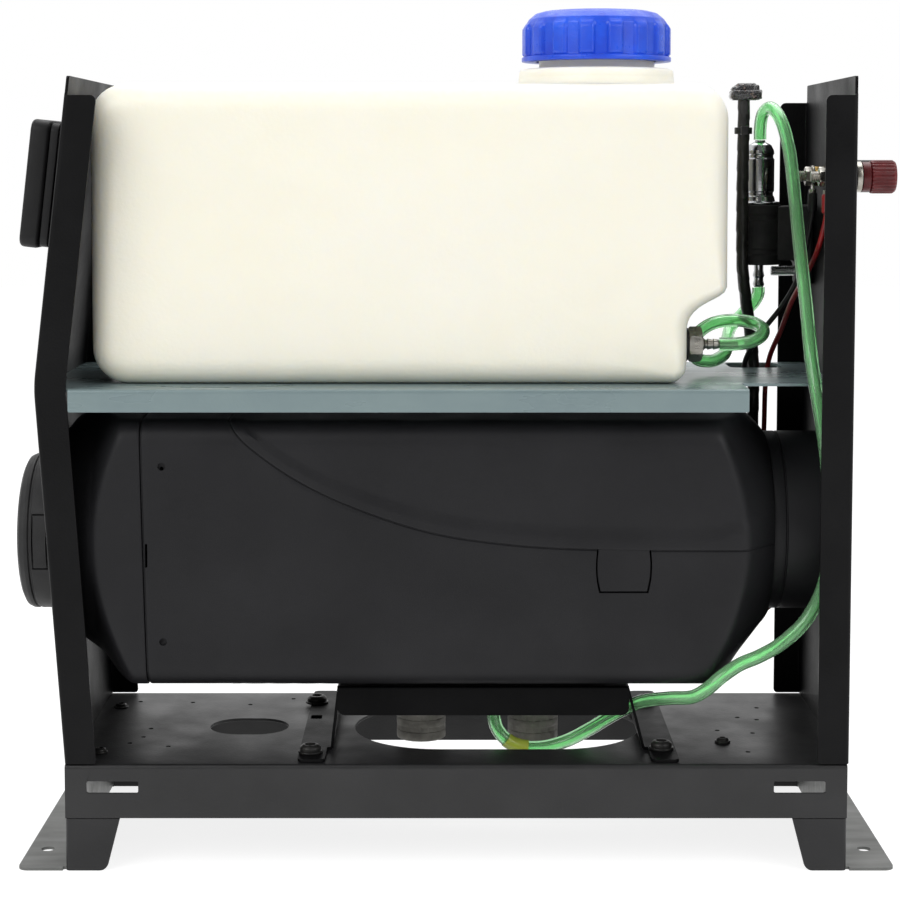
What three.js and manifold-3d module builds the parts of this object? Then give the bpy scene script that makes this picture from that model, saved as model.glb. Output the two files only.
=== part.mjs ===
// A portable diesel air heater with its outer cover taken off: a folded steel frame, a fuel tank on a
// shelf, and the heater below it. Millimetres, +Z up. X runs from the outlet end (left) to the supply
// end (right), -Y is the front. The origin is on the floor under the middle of the base.
import * as THREE from 'three';
import { mergeVertices } from 'three/addons/utils/BufferGeometryUtils.js';
import Module from 'manifold-3d';

const wasm = await Module();
wasm.setup();

// ---- Driving dimensions -------------------------------------------------------------------------

// Clearances
const gap = 0.3; // between pieces that touch
const runGap = 0.4; // around pieces that turn or slide
const grid = 2048; // steps per millimetre that points are set to

// Folded frame
const sheet = 1.5; // steel sheet
const baseLength = 394.5; // over the tray and the feet of both end plates
const baseDepth = 150; // front apron to back apron
const trayTop = 54.5;
const apronHeight = 27.5;
const apronSlotWidth = 26;
const apronSlotHeight = 6;
const apronSlotInset = 24; // slot centre from the end of the tray
const apronSlotDrop = 11.5; // slot centre below the tray's top
const largeHoleLength = 152;
const largeHoleWidth = 91;
const largeHoleX = 21.9;
const smallHoleLength = 42;
const smallHoleWidth = 33;
const smallHoleX = -110.8;
const legTopWidth = 27.5;
const legFootWidth = 20.5;
const legCorner = 3.5;
const footReach = 24.5; // floor flange beyond the base
const footCorner = 5;
const footHoleRadius = 3.5;
const footHoleInset = 10; // hole centre from the flange's outer edge
const footHoleSpacing = 89; // between the two holes of one foot
const bracketLip = 16; // lip of a foot bracket under the tray

// End plates
const flangeWidth = 16;
const flangeTop = 390;
const plateTop = 399.5;
const plateCorner = 3;
const leftTopX = -193; // outer face of the left plate at the top of its flanges
const leftBendX = -210.25;
const leftBendZ = 245.5;
const rightX = 198; // outer face of the right plate

// Tank shelf
const shelfTop = 244.5;
const shelfLip = 11.5;
const shelfNotchX = 145.75; // where the front right notch starts
const shelfNotchDepth = 29.7; // from the front plane
const cableSlotX = 165.5;
const cableSlotY = 54;
const cableSlotLength = 29;
const cableSlotWidth = 28;

// Fuel tank
const tankLeft = -185;
const tankRight = 137.8;
const tankTop = 396.5;
const tankDepth = 110;
const tankWall = 2.5;
const tankCorner = 18;
const tankFootCorner = 9; // lower right corner
const tankEdge = 8; // rounding of the front and back edges
const tankStepX = 117.5; // right wall under the step
const tankStepTop = 294;
const tankStepFoot = 272;
const neckX = 73.7;
const neckRadius = 31;
const neckWall = 5;
const neckRise = 20.5; // neck's mouth above its boss
const bossRadius = 40.5;
const bossRise = 9; // boss above the tank's top

// Tank cap and seal
const capRadius = 37.2;
const capRimRadius = 39.1;
const capDrop = 16.7; // the cap's skirt below the neck's mouth
const capRim = 2.6;
const capRoof = 1.5; // over the seal
const capCrown = 5.9; // top above the shoulder
const capRibs = 16;
const capRibWidth = 6;
const capRibRoom = 3; // rib ends below the shoulder
const threadRoom = 0.8; // radial room between the neck and the cap
const sealThickness = 2.4;

// Tank outlet
const outletY = -20;
const outletZ = 262.5;
const washerThickness = 3;
const washerRadius = 9;
const outletNutFlats = 16;
const outletNutLength = 6.8;
const outletShankRadius = 4.6;
const outletShankLength = 9; // into the tank, from the washer's inner face
const barbRadius = 2.9;
const barbLength = 9;
const outletBore = 1.8;

// Fuel pump
const pumpX = 167.3;
const pumpY = 50;
const pumpRadius = 8;
const pumpBottom = 300.8;
const pumpTop = 367.6;
const pumpShoulder = 3;
const pumpChamberRadius = 5;
const pumpChamberBottom = 305;
const pumpChamberTop = 356;
const pumpPort = 1.5;
const nippleRadius = 3.3;
const nippleLength = 12.5; // lower nipple
const nozzleRadius = 2.9;
const nozzleLength = 1.4; // upper nozzle below the hose
const pistonLength = 30;
const springTurns = 4;
const springWire = 0.5;

// Pump mount
const mountRadius = 12;
const mountHeight = 33;
const mountArmWidth = 16;
const mountEarLength = 9.2;
const mountBoltZ = 297.2;
const mountBoltRadius = 2.8;
const mountBoltInner = 174; // free end of the bolt
const boltHeadFlats = 10;
const boltHeadHeight = 4;

// Fuel hoses and wiring
const hoseRadius = 3.5;
const harnessRadius = 3.4;
const leadRadius = 1.4;
const harnessTop = 390.5;
const connectorLength = 17;
const connectorDepth = 12;
const connectorHeight = 8.5;
const tieZ = 374;
const tieWidth = 3.6;
const tieThickness = 1.2;

// Binding posts on the right plate
const postY = 22;
const postZ = 349.5;
const postStudRadius = 3;
const postInside = 14.5; // stud beyond the plate's outer face, inwards
const postBushRadius = 4.4;
const postFlangeRadius = 8.8;
const postFlangeLength = 8;
const postCollarLength = 3;
const postCollarRadius = 8;
const postKnobRadius = 8.65;
const postKnobEnd = 29; // outer end of the knob from the plate's outer face
const postKnobFlats = 14;
const postInsertRadius = 5.2;
const postInsertLength = 9;
const postNutFlats = 9;
const postNutLength = 3.4;
const terminalThickness = 1.2;
const terminalBarrel = 8;

// Controller on the left plate
const controllerZ = 344.5; // its centre on the plate
const controllerHeight = 65;
const controllerWidth = 100;
const controllerStandoff = 5;
const controllerBackDepth = 4;
const controllerFrontDepth = 10.2;
const controllerWall = 2;
const controllerCorner = 6;
const displayWidth = 72;
const displayHeight = 30;
const displayZ = 9;
const displayLap = 3;
const displayThickness = 3;
const buttonRadius = 5;
const buttonSpacing = 20;
const buttonZ = -20;
const buttonProud = 1.1;
const buttonFlange = 1.4;
const buttonCount = 4;

// Air outlet on the left plate
const ventZ = 161.3;
const ventRadius = 41;
const ventFaceX = -227;
const ventBore = 34.4;
const ventSleeveWall = 2;
const ventSleeveEnd = -198.5;
const ventEdge = 4;
const louvreRim = 3.2;
const louvreDepth = 13;
const louvreBlades = 5;
const louvreBladeThickness = 1.6;
const louvreTilt = 0.6; // radians

// Heater casing
const heaterHalfDepth = 69;
const heaterBottom = 92;
const heaterTop = 228;
const heaterCorner = 12;
const heaterWall = 2.2;
const heaterAxisZ = 165;
const heaterLeftShoulder = -183.5; // where the front face meets the outlet cone
const heaterRightShoulder = 147.6; // where it meets the inlet cone
const coneSlope = 1.43; // radius gained per millimetre on both cones
const outletNeckX = -200.5;
const outletNeckRadius = 57;
const outletMouthX = -206.5;
const outletMouthRadius = 49.5;
const outletMouthBore = 43;
const inletEndX = 163;
const inletEndRadius = 50;
const inletBore = 44;
const hoodSeamTopX = -159.1;
const hoodSeamBottomX = -156.1;
const latchLeft = 71.7;
const latchRight = 97;
const latchTop = 162;
const latchBottom = 141.7;
const latchBulge = 2;
const clipHole = 4;
const casingOpeningLeft = -40;
const casingOpeningRight = 62;
const casingOpeningHalfDepth = 34;

// Inlet collar and grille
const collarZ = 167.2;
const collarRadius = 47.15;
const collarWall = 3;
const grilleThickness = 3;
const grilleRim = 3;
const grilleHub = 9;
const grilleRings = 2;
const grilleSpokes = 6;

// Inside the heater
const exchangerRadius = 44;
const exchangerBore = 36;
const exchangerLeft = -140;
const exchangerRight = 36;
const exchangerEnd = 5;
const finCount = 10;
const finHeight = 8;
const finThickness = 2;
const burnerRadius = 30;
const burnerWall = 1.5;
const burnerLeft = -90;
const burnerFlange = 4;
const glowPlugX = 20;
const glowPlugRadius = 3;
const housingRadius = 48;
const housingRight = 66;
const housingFront = 4.7;
const housingWall = 4;
const housingCavity = 33;
const housingEye = 14;
const shaftRadius = 3;
const motorRadius = 26;
const motorLength = 38;
const impellerRadius = 30;
const impellerLength = 11;
const impellerBlades = 8;
const blowerRadius = 42;
const blowerLength = 28;
const blowerHub = 17;
const blowerBlades = 8;
const blowerPlate = 2;
const controlWidth = 60;
const controlHeight = 22;
const pedestalTop = 116;

// Under the heater
const gasketThickness = 3;
const gasketLap = 7; // gasket beyond the opening in the casing
const bridgeLeft = -61;
const bridgeRight = 89;
const bridgeLeftFoot = -63.2;
const bridgeRightFoot = 95.9;
const bridgeHalfDepth = 50;
const bridgeLip = 15;
const bridgeFootWidth = 17;
const bridgeFootHalfDepth = 71.5;
const bridgeWindowHalf = 47.2;
const bridgeWindowHeight = 26;
const exhaustX = -18.5;
const exhaustRadius = 13;
const intakeX = 41.4;
const intakeRadius = 13.4;
const stubWall = 2;
const stubBottom = 49.5;
const fuelStubX = 19.7;
const fuelStubY = -28;
const fuelStubRadius = 2.5;
const fuelStubBottom = 78;
const glandY = 42.5;
const glandZ = 103;
const glandRadius = 8;
const glandEndX = 152;
const glandLength = 20;

// ---- Places worked out from them ----------------------------------------------------------------

const halfBase = baseLength / 2;
const halfDepth = baseDepth / 2;
const inside = halfDepth - sheet - gap; // half depth between the flanges
const bracketTop = trayTop - apronHeight - gap;
const plateBottom = trayTop + gap;
const rightInner = rightX - sheet - gap;
const lowerSlope = (leftBendX + halfBase) / (leftBendZ - trayTop);
const upperSlope = (leftTopX - leftBendX) / (flangeTop - leftBendZ);
const tankBottom = shelfTop + gap;
const bossTop = tankTop + bossRise;
const neckTop = bossTop + neckRise;
const capBottom = neckTop - capDrop;
const capRoofZ = neckTop + sealThickness + 2 * gap;
const capShoulder = capRoofZ + capRoof;
const capTop = capShoulder + capCrown;
const washerX = tankStepX + gap;
const nutX = washerX + washerThickness + gap;
const barbX = nutX + outletNutLength;
const bridgeTop = heaterBottom - gasketThickness - 2 * gap;
const motorLeft = housingRight + gap;
const motorRight = motorLeft + motorLength;
const impellerLeft = exchangerRight + gap + housingFront + 4;
const blowerLeft = motorRight + 5;

/** The X of the left plate's outer face at a height. */
function leftFace(z) {
  const slope = z < leftBendZ ? lowerSlope : upperSlope;
  return leftBendX + slope * (z - leftBendZ);
}

// ---- Solids -------------------------------------------------------------------------------------

/** A closed three.js geometry as a solid: on a fine grid, and with its faces turned outwards. */
function solid(geometry) {
  const bare = geometry.index ? geometry.toNonIndexed() : geometry;
  bare.deleteAttribute('normal');
  bare.deleteAttribute('uv');
  const values = bare.attributes.position.array;
  values.forEach((value, i) => {
    values[i] = Math.round(value * grid) / grid;
  });
  const merged = mergeVertices(bare, 1e-4);
  const place = merged.attributes.position;
  const corners = [];
  let volume = 0;
  const a = new THREE.Vector3();
  const b = new THREE.Vector3();
  const c = new THREE.Vector3();
  for (let i = 0; i < merged.index.count; i += 3) {
    const [p, q, r] = [0, 1, 2].map((k) => merged.index.getX(i + k));
    if (p === q || q === r || r === p) continue;
    corners.push(p, q, r);
    a.fromBufferAttribute(place, p);
    b.fromBufferAttribute(place, q);
    c.fromBufferAttribute(place, r);
    volume += a.dot(b.cross(c));
  }
  if (volume < 0) corners.reverse();
  return new wasm.Manifold(
    new wasm.Mesh({
      numProp: 3,
      vertProperties: new Float32Array(place.array),
      triVerts: new Uint32Array(corners),
    }),
  );
}

function join(...solids) {
  return solids.reduce((whole, piece) => whole.add(piece));
}

function cut(whole, ...tools) {
  return tools.reduce((left, tool) => left.subtract(tool), whole);
}

/** A box between two corners. */
function box(x0, x1, y0, y1, z0, z1) {
  const geometry = new THREE.BoxGeometry(x1 - x0, y1 - y0, z1 - z0);
  geometry.translate((x0 + x1) / 2, (y0 + y1) / 2, (z0 + z1) / 2);
  return solid(geometry);
}

const ALONG = {
  x: new THREE.Matrix4().makeBasis(
    new THREE.Vector3(0, 1, 0), new THREE.Vector3(0, 0, 1), new THREE.Vector3(1, 0, 0),
  ),
  y: new THREE.Matrix4().makeBasis(
    new THREE.Vector3(1, 0, 0), new THREE.Vector3(0, 0, 1), new THREE.Vector3(0, -1, 0),
  ),
  z: new THREE.Matrix4(),
};

function shapeOf(outline) {
  if (outline instanceof THREE.Shape) return outline;
  return new THREE.Shape(outline.map((p) => new THREE.Vector2(...p)));
}

/** An outline carried along an axis. It is given in (Y, Z) along x, (X, Z) along y and (X, Y) along z. */
function prism(outline, axis, from, to, curveSegments = 6) {
  const settings = { depth: to - from, bevelEnabled: false, curveSegments };
  const geometry = new THREE.ExtrudeGeometry(shapeOf(outline), settings);
  geometry.translate(0, 0, axis === 'y' ? -to : from);
  geometry.applyMatrix4(ALONG[axis]);
  return solid(geometry);
}

/** A rectangle with round corners, as an outline. */
function roundRect(u0, u1, v0, v1, radius) {
  const shape = new THREE.Shape();
  shape.absarc(u1 - radius, v0 + radius, radius, -Math.PI / 2, 0);
  shape.absarc(u1 - radius, v1 - radius, radius, 0, Math.PI / 2);
  shape.absarc(u0 + radius, v1 - radius, radius, Math.PI / 2, Math.PI);
  shape.absarc(u0 + radius, v0 + radius, radius, Math.PI, Math.PI * 1.5);
  return shape;
}

/** A long hole with round ends, centred at (u, v). */
function slotShape(u, v, length, width) {
  const radius = Math.min(length, width) / 2 - 0.01;
  return roundRect(u - length / 2, u + length / 2, v - width / 2, v + width / 2, radius);
}

/** A profile of [radius, place along the axis] turned about an axis through a centre. */
function turned(profile, axis, centre, segments) {
  const points = profile.map(([radius, along]) => new THREE.Vector2(radius, along));
  const open = profile[0][0] > 0;
  if (open) points.push(points[0].clone());
  const geometry = new THREE.LatheGeometry(points, segments);
  if (axis === 'x') geometry.rotateZ(-Math.PI / 2);
  if (axis === 'z') geometry.rotateX(Math.PI / 2);
  geometry.translate(...centre);
  return solid(geometry);
}

/** A round rod along an axis. The centre's own value along that axis is an offset. */
function rod(axis, centre, radius, from, to, segments = 20) {
  return turned([[0, from], [radius, from], [radius, to], [0, to]], axis, centre, segments);
}

/** A hexagon of the given size across its flats, along x. */
function hexagon(centre, flats, from, to) {
  return rod('x', centre, flats / Math.sqrt(3), from, to, 6);
}

/** A round cord along hand-chosen points. */
function cordAlong(points, radius, sides, steps) {
  const knots = points.map((p) => new THREE.Vector3(...p));
  const path = new THREE.CatmullRomCurve3(knots, false, 'centripetal');
  const section = new THREE.Shape();
  for (let i = 0; i < sides; i += 1) {
    const angle = (i / sides) * Math.PI * 2;
    const at = [radius * Math.cos(angle), radius * Math.sin(angle)];
    if (i) section.lineTo(...at);
    else section.moveTo(...at);
  }
  return solid(new THREE.ExtrudeGeometry(section, { steps, extrudePath: path }));
}

function turnedAbout(whole, axis, degrees) {
  const turns = { x: [degrees, 0, 0], y: [0, degrees, 0], z: [0, 0, degrees] };
  return whole.rotate(turns[axis]);
}

// ---- Scene --------------------------------------------------------------------------------------

const MATERIALS = {
  darkSteel: [0x4f5051, 0.42, 0.35],
  greySteel: [0x8d8f8e, 0.4, 0.6],
  galvanised: [0x9fb0b3, 0.3, 0.7],
  bareSteel: [0xb5b7b8, 0.28, 0.9],
  chrome: [0xdfe3e6, 0.12, 1],
  castAluminium: [0xa3a5a6, 0.5, 0.85],
  brass: [0xc9a552, 0.3, 0.95],
  tankPlastic: [0xf1f1ea, 0.45, 0],
  bluePlastic: [0x2a55e6, 0.35, 0],
  blackPlastic: [0x3d3d3f, 0.5, 0],
  glossBlack: [0x2c2d2b, 0.3, 0],
  greyPlastic: [0x8f9291, 0.45, 0],
  rubber: [0x222324, 0.75, 0],
  redPlastic: [0x7d1c20, 0.35, 0],
  greenHose: [0x5fc777, 0.3, 0],
  redLead: [0x8a1a1f, 0.5, 0],
  blackLead: [0x202020, 0.55, 0],
  display: [0x2b3a33, 0.15, 0],
  gasket: [0x5b5b58, 0.9, 0],
};

function materialOf(name) {
  const [color, roughness, metalness] = MATERIALS[name];
  return new THREE.MeshStandardMaterial({ name, color, roughness, metalness });
}

function meshOf(name, whole, material) {
  const { vertProperties, triVerts } = whole.getMesh();
  const geometry = new THREE.BufferGeometry();
  geometry.setAttribute('position', new THREE.BufferAttribute(vertProperties, 3));
  geometry.setIndex(new THREE.BufferAttribute(triVerts, 1));
  geometry.computeVertexNormals();
  const mesh = new THREE.Mesh(geometry, materialOf(material));
  mesh.name = name;
  return mesh;
}

const heater = new THREE.Group();

function place(name, whole, material, group = heater) {
  group.add(meshOf(name, whole, material));
}

// ---- Frame --------------------------------------------------------------------------------------

function baseTray() {
  let tray = box(-halfBase, halfBase, -halfDepth, halfDepth, trayTop - sheet, trayTop);
  for (const side of [-1, 1]) {
    const outer = side * halfDepth;
    const inner = side * (halfDepth - sheet);
    const apronFoot = trayTop - apronHeight;
    const [y0, y1] = [Math.min(outer, inner), Math.max(outer, inner)];
    tray = join(tray, box(-halfBase, halfBase, y0, y1, apronFoot, trayTop));
  }
  for (const side of [-1, 1]) {
    const slotX = side * (halfBase - apronSlotInset);
    const slot = slotShape(slotX, trayTop - apronSlotDrop, apronSlotWidth, apronSlotHeight);
    tray = cut(tray, prism(slot, 'y', -halfDepth - 1, halfDepth + 1, 2));
  }
  const large = slotShape(largeHoleX, 0, largeHoleLength, largeHoleWidth);
  const small = slotShape(smallHoleX, 0, smallHoleLength, smallHoleWidth);
  const down = trayTop - sheet - 1;
  return cut(tray, prism(large, 'z', down, trayTop + 1, 5), prism(small, 'z', down, trayTop + 1, 3));
}

/** The foot at the left end: an end web, a leg at each face, a lip under the tray and a floor flange. */
function footBracket() {
  const outer = -halfBase;
  const lipTop = trayTop - sheet - gap;
  const leg = new THREE.Shape();
  leg.moveTo(outer, 0);
  leg.lineTo(outer + legFootWidth - legCorner, 0);
  leg.quadraticCurveTo(outer + legFootWidth, 0, outer + legFootWidth + 1, legCorner);
  leg.lineTo(outer + legTopWidth, bracketTop);
  leg.lineTo(outer, bracketTop);
  const flange = roundRect(outer - footReach, outer + sheet, -halfDepth, halfDepth, footCorner);
  const keep = box(outer - footReach - 1, outer + sheet / 2, -halfDepth, halfDepth, -1, sheet + 1);
  let bracket = join(
    box(outer, outer + sheet, -halfDepth, halfDepth, 0, bracketTop),
    box(outer, outer + sheet, -inside, inside, bracketTop - 1, lipTop),
    box(outer, outer + bracketLip, -inside, inside, lipTop - sheet, lipTop),
    prism(leg, 'y', -halfDepth, -halfDepth + sheet, 3),
    prism(leg, 'y', halfDepth - sheet, halfDepth, 3),
    prism(flange, 'z', 0, sheet, 3).intersect(keep),
  );
  for (const side of [-1, 1]) {
    const hole = [outer - footReach + footHoleInset, (side * footHoleSpacing) / 2, 0];
    bracket = cut(bracket, rod('z', hole, footHoleRadius, -1, sheet + 1, 10));
  }
  return bracket;
}

/** The left end plate, bent like a flat "<", with a flange along its front and back edges. */
function leftEndPlate() {
  const heights = [plateBottom, leftBendZ, plateTop];
  const web = [
    ...heights.map((z) => [leftFace(z), z]),
    ...heights.toReversed().map((z) => [leftFace(z) + sheet, z]),
  ];
  const flange = new THREE.Shape();
  flange.moveTo(leftFace(plateBottom), plateBottom);
  flange.lineTo(leftFace(plateBottom) + flangeWidth, plateBottom);
  flange.lineTo(leftBendX + flangeWidth, leftBendZ);
  flange.lineTo(leftFace(flangeTop - plateCorner) + flangeWidth, flangeTop - plateCorner);
  const cornerX = leftTopX + flangeWidth;
  flange.quadraticCurveTo(cornerX, flangeTop, cornerX - plateCorner, flangeTop);
  flange.lineTo(leftTopX, flangeTop);
  flange.lineTo(leftBendX, leftBendZ);
  const sleeve = ventBore + ventSleeveWall + gap;
  const reach = flangeWidth + 8;
  return cut(
    join(
      prism(web, 'y', -halfDepth, halfDepth),
      prism(flange, 'y', -halfDepth, -halfDepth + sheet, 3),
      prism(flange, 'y', halfDepth - sheet, halfDepth, 3),
    ),
    rod('x', [0, 0, ventZ], sleeve, leftBendX - 1, leftBendX + reach, 24),
    rod('x', [0, 0, controllerZ], 5, leftBendX - 1, leftTopX + 5, 12),
  );
}

function rightEndPlate() {
  const flange = new THREE.Shape();
  flange.moveTo(rightX, plateBottom);
  flange.lineTo(rightX, flangeTop);
  flange.lineTo(rightX - flangeWidth + plateCorner, flangeTop);
  flange.quadraticCurveTo(rightX - flangeWidth, flangeTop, rightX - flangeWidth, flangeTop - plateCorner);
  flange.lineTo(rightX - flangeWidth, plateBottom);
  const through = [rightX - sheet - 1, rightX + 1];
  let plate = join(
    box(rightX - sheet, rightX, -halfDepth, halfDepth, plateBottom, plateTop),
    prism(flange, 'y', -halfDepth, -halfDepth + sheet, 3),
    prism(flange, 'y', halfDepth - sheet, halfDepth, 3),
  );
  plate = cut(
    plate,
    rod('x', [0, 0, collarZ], collarRadius - 2 * collarWall, ...through, 28),
    rod('x', [0, pumpY, mountBoltZ], mountBoltRadius + gap, ...through, 12),
  );
  for (const side of [-1, 1]) {
    plate = cut(plate, rod('x', [0, side * postY, postZ], postBushRadius + gap, ...through, 14));
  }
  return plate;
}

function tankShelf() {
  const under = shelfTop - sheet;
  const left = leftFace(under) + sheet + gap;
  const frontLeft = leftFace(shelfTop - shelfLip) + flangeWidth + gap;
  const backRight = rightX - flangeWidth - gap;
  const notchY = -halfDepth + shelfNotchDepth;
  const outline = [
    [left, -inside],
    [frontLeft, -inside],
    [frontLeft, -halfDepth],
    [shelfNotchX, -halfDepth],
    [shelfNotchX, notchY],
    [rightInner, notchY],
    [rightInner, inside],
    [backRight, inside],
    [backRight, halfDepth],
    [frontLeft, halfDepth],
    [frontLeft, inside],
    [left, inside],
  ];
  const slot = roundRect(
    cableSlotX - cableSlotLength / 2,
    cableSlotX + cableSlotLength / 2,
    cableSlotY - cableSlotWidth / 2,
    cableSlotY + cableSlotWidth / 2,
    5,
  );
  const lipFoot = shelfTop - shelfLip;
  return cut(
    join(
      prism(outline, 'z', under, shelfTop),
      box(frontLeft, shelfNotchX, -halfDepth, -halfDepth + sheet, lipFoot, shelfTop),
      box(frontLeft, backRight, halfDepth - sheet, halfDepth, lipFoot, shelfTop),
    ),
    prism(slot, 'z', under - 1, shelfTop + 1, 3),
  );
}

/** The raised bridge that the heater is bolted to, with an open window in each end wall. */
function heaterBracket() {
  const under = bridgeTop - sheet;
  const footTop = plateBottom + sheet;
  const section = [
    [bridgeLeftFoot - bridgeFootWidth, plateBottom],
    [bridgeLeftFoot, plateBottom],
    [bridgeLeft + sheet, under],
    [bridgeRight - sheet, under],
    [bridgeRightFoot, plateBottom],
    [bridgeRightFoot + bridgeFootWidth, plateBottom],
    [bridgeRightFoot + bridgeFootWidth, footTop],
    [bridgeRightFoot + sheet, footTop],
    [bridgeRight, bridgeTop],
    [bridgeLeft, bridgeTop],
    [bridgeLeftFoot - sheet, footTop],
    [bridgeLeftFoot - bridgeFootWidth, footTop],
  ];
  const feet = [
    [bridgeLeftFoot - bridgeFootWidth, bridgeLeftFoot - sheet],
    [bridgeRightFoot + sheet, bridgeRightFoot + bridgeFootWidth],
  ];
  let bridge = prism(section, 'y', -bridgeHalfDepth, bridgeHalfDepth);
  for (const [from, to] of feet) {
    bridge = join(bridge, box(from, to, -bridgeFootHalfDepth, bridgeFootHalfDepth, plateBottom, footTop));
  }
  for (const side of [-1, 1]) {
    const outer = side * bridgeHalfDepth;
    const inner = side * (bridgeHalfDepth - sheet);
    const [y0, y1] = [Math.min(outer, inner), Math.max(outer, inner)];
    bridge = join(bridge, box(bridgeLeft, bridgeRight, y0, y1, bridgeTop - bridgeLip, bridgeTop - 0.5));
  }
  const window = [bridgeTop - sheet - bridgeWindowHeight, bridgeTop - sheet - 1];
  return cut(
    bridge,
    box(bridgeRight - 3, bridgeRightFoot + 3, -bridgeWindowHalf, bridgeWindowHalf, ...window),
    box(bridgeLeftFoot - 3, bridgeLeft + 3, -bridgeWindowHalf, bridgeWindowHalf, ...window),
    rod('z', [exhaustX, 0, 0], exhaustRadius + gap, under - 1, bridgeTop + 1, 20),
    rod('z', [intakeX, 0, 0], intakeRadius + gap, under - 1, bridgeTop + 1, 20),
    rod('z', [fuelStubX, fuelStubY, 0], fuelStubRadius + 1, under - 1, bridgeTop + 1, 12),
  );
}

// ---- Fuel tank ----------------------------------------------------------------------------------

/** The tank's side outline, drawn in by an inset: round corners and a step at the lower right. */
function tankOutline(inset) {
  const left = tankLeft + inset;
  const right = tankRight - inset;
  const low = tankBottom + inset;
  const high = tankTop - inset;
  const step = tankStepX - inset;
  const corner = tankCorner - inset;
  const foot = tankFootCorner - inset;
  const third = (tankStepTop - tankStepFoot) / 3;
  const shape = new THREE.Shape();
  shape.absarc(left + corner, low + corner, corner, Math.PI, Math.PI * 1.5);
  shape.absarc(step - foot, low + foot, foot, -Math.PI / 2, 0);
  shape.lineTo(step, tankStepFoot);
  shape.bezierCurveTo(step, tankStepFoot + 2 * third, right, tankStepTop - third, right, tankStepTop + inset);
  shape.absarc(right - corner, high - corner, corner, 0, Math.PI / 2);
  shape.absarc(left + corner, high - corner, corner, Math.PI / 2, Math.PI);
  return shape;
}

function tankBody(inset, curveSegments) {
  const edge = tankEdge - inset;
  const depth = tankDepth - 2 * inset - 2 * edge;
  const settings = {
    depth,
    curveSegments,
    bevelEnabled: true,
    bevelThickness: edge,
    bevelSize: edge,
    bevelOffset: -edge,
    bevelSegments: 2,
  };
  const geometry = new THREE.ExtrudeGeometry(tankOutline(inset), settings);
  geometry.translate(0, 0, -depth / 2);
  geometry.applyMatrix4(ALONG.y);
  return solid(geometry);
}

function fuelTank() {
  const bore = neckRadius - neckWall;
  const root = tankTop - tankWall / 2;
  return cut(
    join(
      tankBody(0, 4),
      rod('z', [neckX, 0, 0], bossRadius, root, bossTop, 24),
      rod('z', [neckX, 0, 0], neckRadius, bossTop - 1, neckTop, 24),
    ),
    tankBody(tankWall, 3),
    rod('z', [neckX, 0, 0], bore, root - tankWall, neckTop + 1, 20),
    rod('x', [0, outletY, outletZ], outletShankRadius + gap, tankStepX - 8, tankStepX + 3, 14),
  );
}

function tankCap() {
  const bore = neckRadius + threadRoom;
  const rimTop = capBottom + capRim;
  let cap = turned(
    [
      [0, capRoofZ],
      [bore, capRoofZ],
      [bore, capBottom],
      [capRimRadius, capBottom],
      [capRimRadius, rimTop],
      [capRadius, rimTop + 0.4],
      [capRadius, capShoulder - 3],
      [capRadius - 1.4, capShoulder],
      [capRadius * 0.86, (capShoulder + capTop) / 2 + 1],
      [capRadius * 0.55, capTop - 0.7],
      [0, capTop],
    ],
    'z', [0, 0, 0], 24,
  );
  const root = capRadius - 1.5;
  const ribHalf = capRibWidth / 2;
  const ribTop = capShoulder - capRibRoom;
  const rib = box(root, capRimRadius - 0.2, -ribHalf, ribHalf, rimTop - 0.5, ribTop);
  for (let i = 0; i < capRibs; i += 1) {
    cap = join(cap, turnedAbout(rib, 'z', ((i + 0.5) * 360) / capRibs));
  }
  return cap;
}

function capSeal() {
  const inner = neckRadius - neckWall - 1;
  const outer = neckRadius - 0.5;
  const low = neckTop + gap;
  const high = low + sealThickness;
  return turned([[inner, low], [outer, low], [outer, high], [inner, high]], 'z', [0, 0, 0], 24);
}

function outletWasher() {
  const bore = outletShankRadius + gap;
  const end = washerX + washerThickness;
  const profile = [[bore, washerX], [washerRadius, washerX], [washerRadius, end], [bore, end]];
  return turned(profile, 'x', [0, outletY, outletZ], 16);
}

/** The nut, its shank into the tank and the ridged barb, in one turned piece. */
function tankOutlet() {
  const at = [0, outletY, outletZ];
  const shankEnd = washerX - outletShankLength;
  const barbEnd = barbX + barbLength;
  const ridge = barbLength / 3;
  const low = barbRadius - 0.6;
  const ridgeAt = (x) => turned(
    [[0, x], [barbRadius, x], [low, x + ridge], [0, x + ridge]],
    'x', at, 12,
  );
  return cut(
    join(
      hexagon(at, outletNutFlats, nutX, barbX),
      rod('x', at, outletShankRadius, shankEnd, nutX + 1, 14),
      rod('x', at, barbRadius - 0.5, barbX - 1, barbEnd, 12),
      ridgeAt(barbX + ridge),
      ridgeAt(barbX + 2 * ridge),
    ),
    rod('x', at, outletBore, shankEnd - 1, barbEnd + 1, 10),
  );
}

// ---- Fuel pump ----------------------------------------------------------------------------------

const pumpAt = [pumpX, pumpY, 0];

function pumpBody() {
  const nippleEnd = pumpBottom - nippleLength;
  const nozzleEnd = pumpTop + nozzleLength;
  return turned(
    [
      [pumpPort, nippleEnd],
      [nippleRadius, nippleEnd],
      [nippleRadius, pumpBottom],
      [pumpRadius, pumpBottom],
      [pumpRadius, pumpTop - pumpShoulder],
      [pumpRadius - 1.6, pumpTop],
      [nozzleRadius, pumpTop],
      [nozzleRadius, nozzleEnd],
      [pumpPort, nozzleEnd],
      [pumpPort, pumpChamberTop],
      [pumpChamberRadius, pumpChamberTop],
      [pumpChamberRadius, pumpChamberBottom],
      [pumpPort, pumpChamberBottom],
    ],
    'z', pumpAt, 16,
  );
}

function pumpPiston() {
  const low = pumpChamberBottom + gap;
  return rod('z', pumpAt, pumpChamberRadius - gap, low, low + pistonLength, 14);
}

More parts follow.
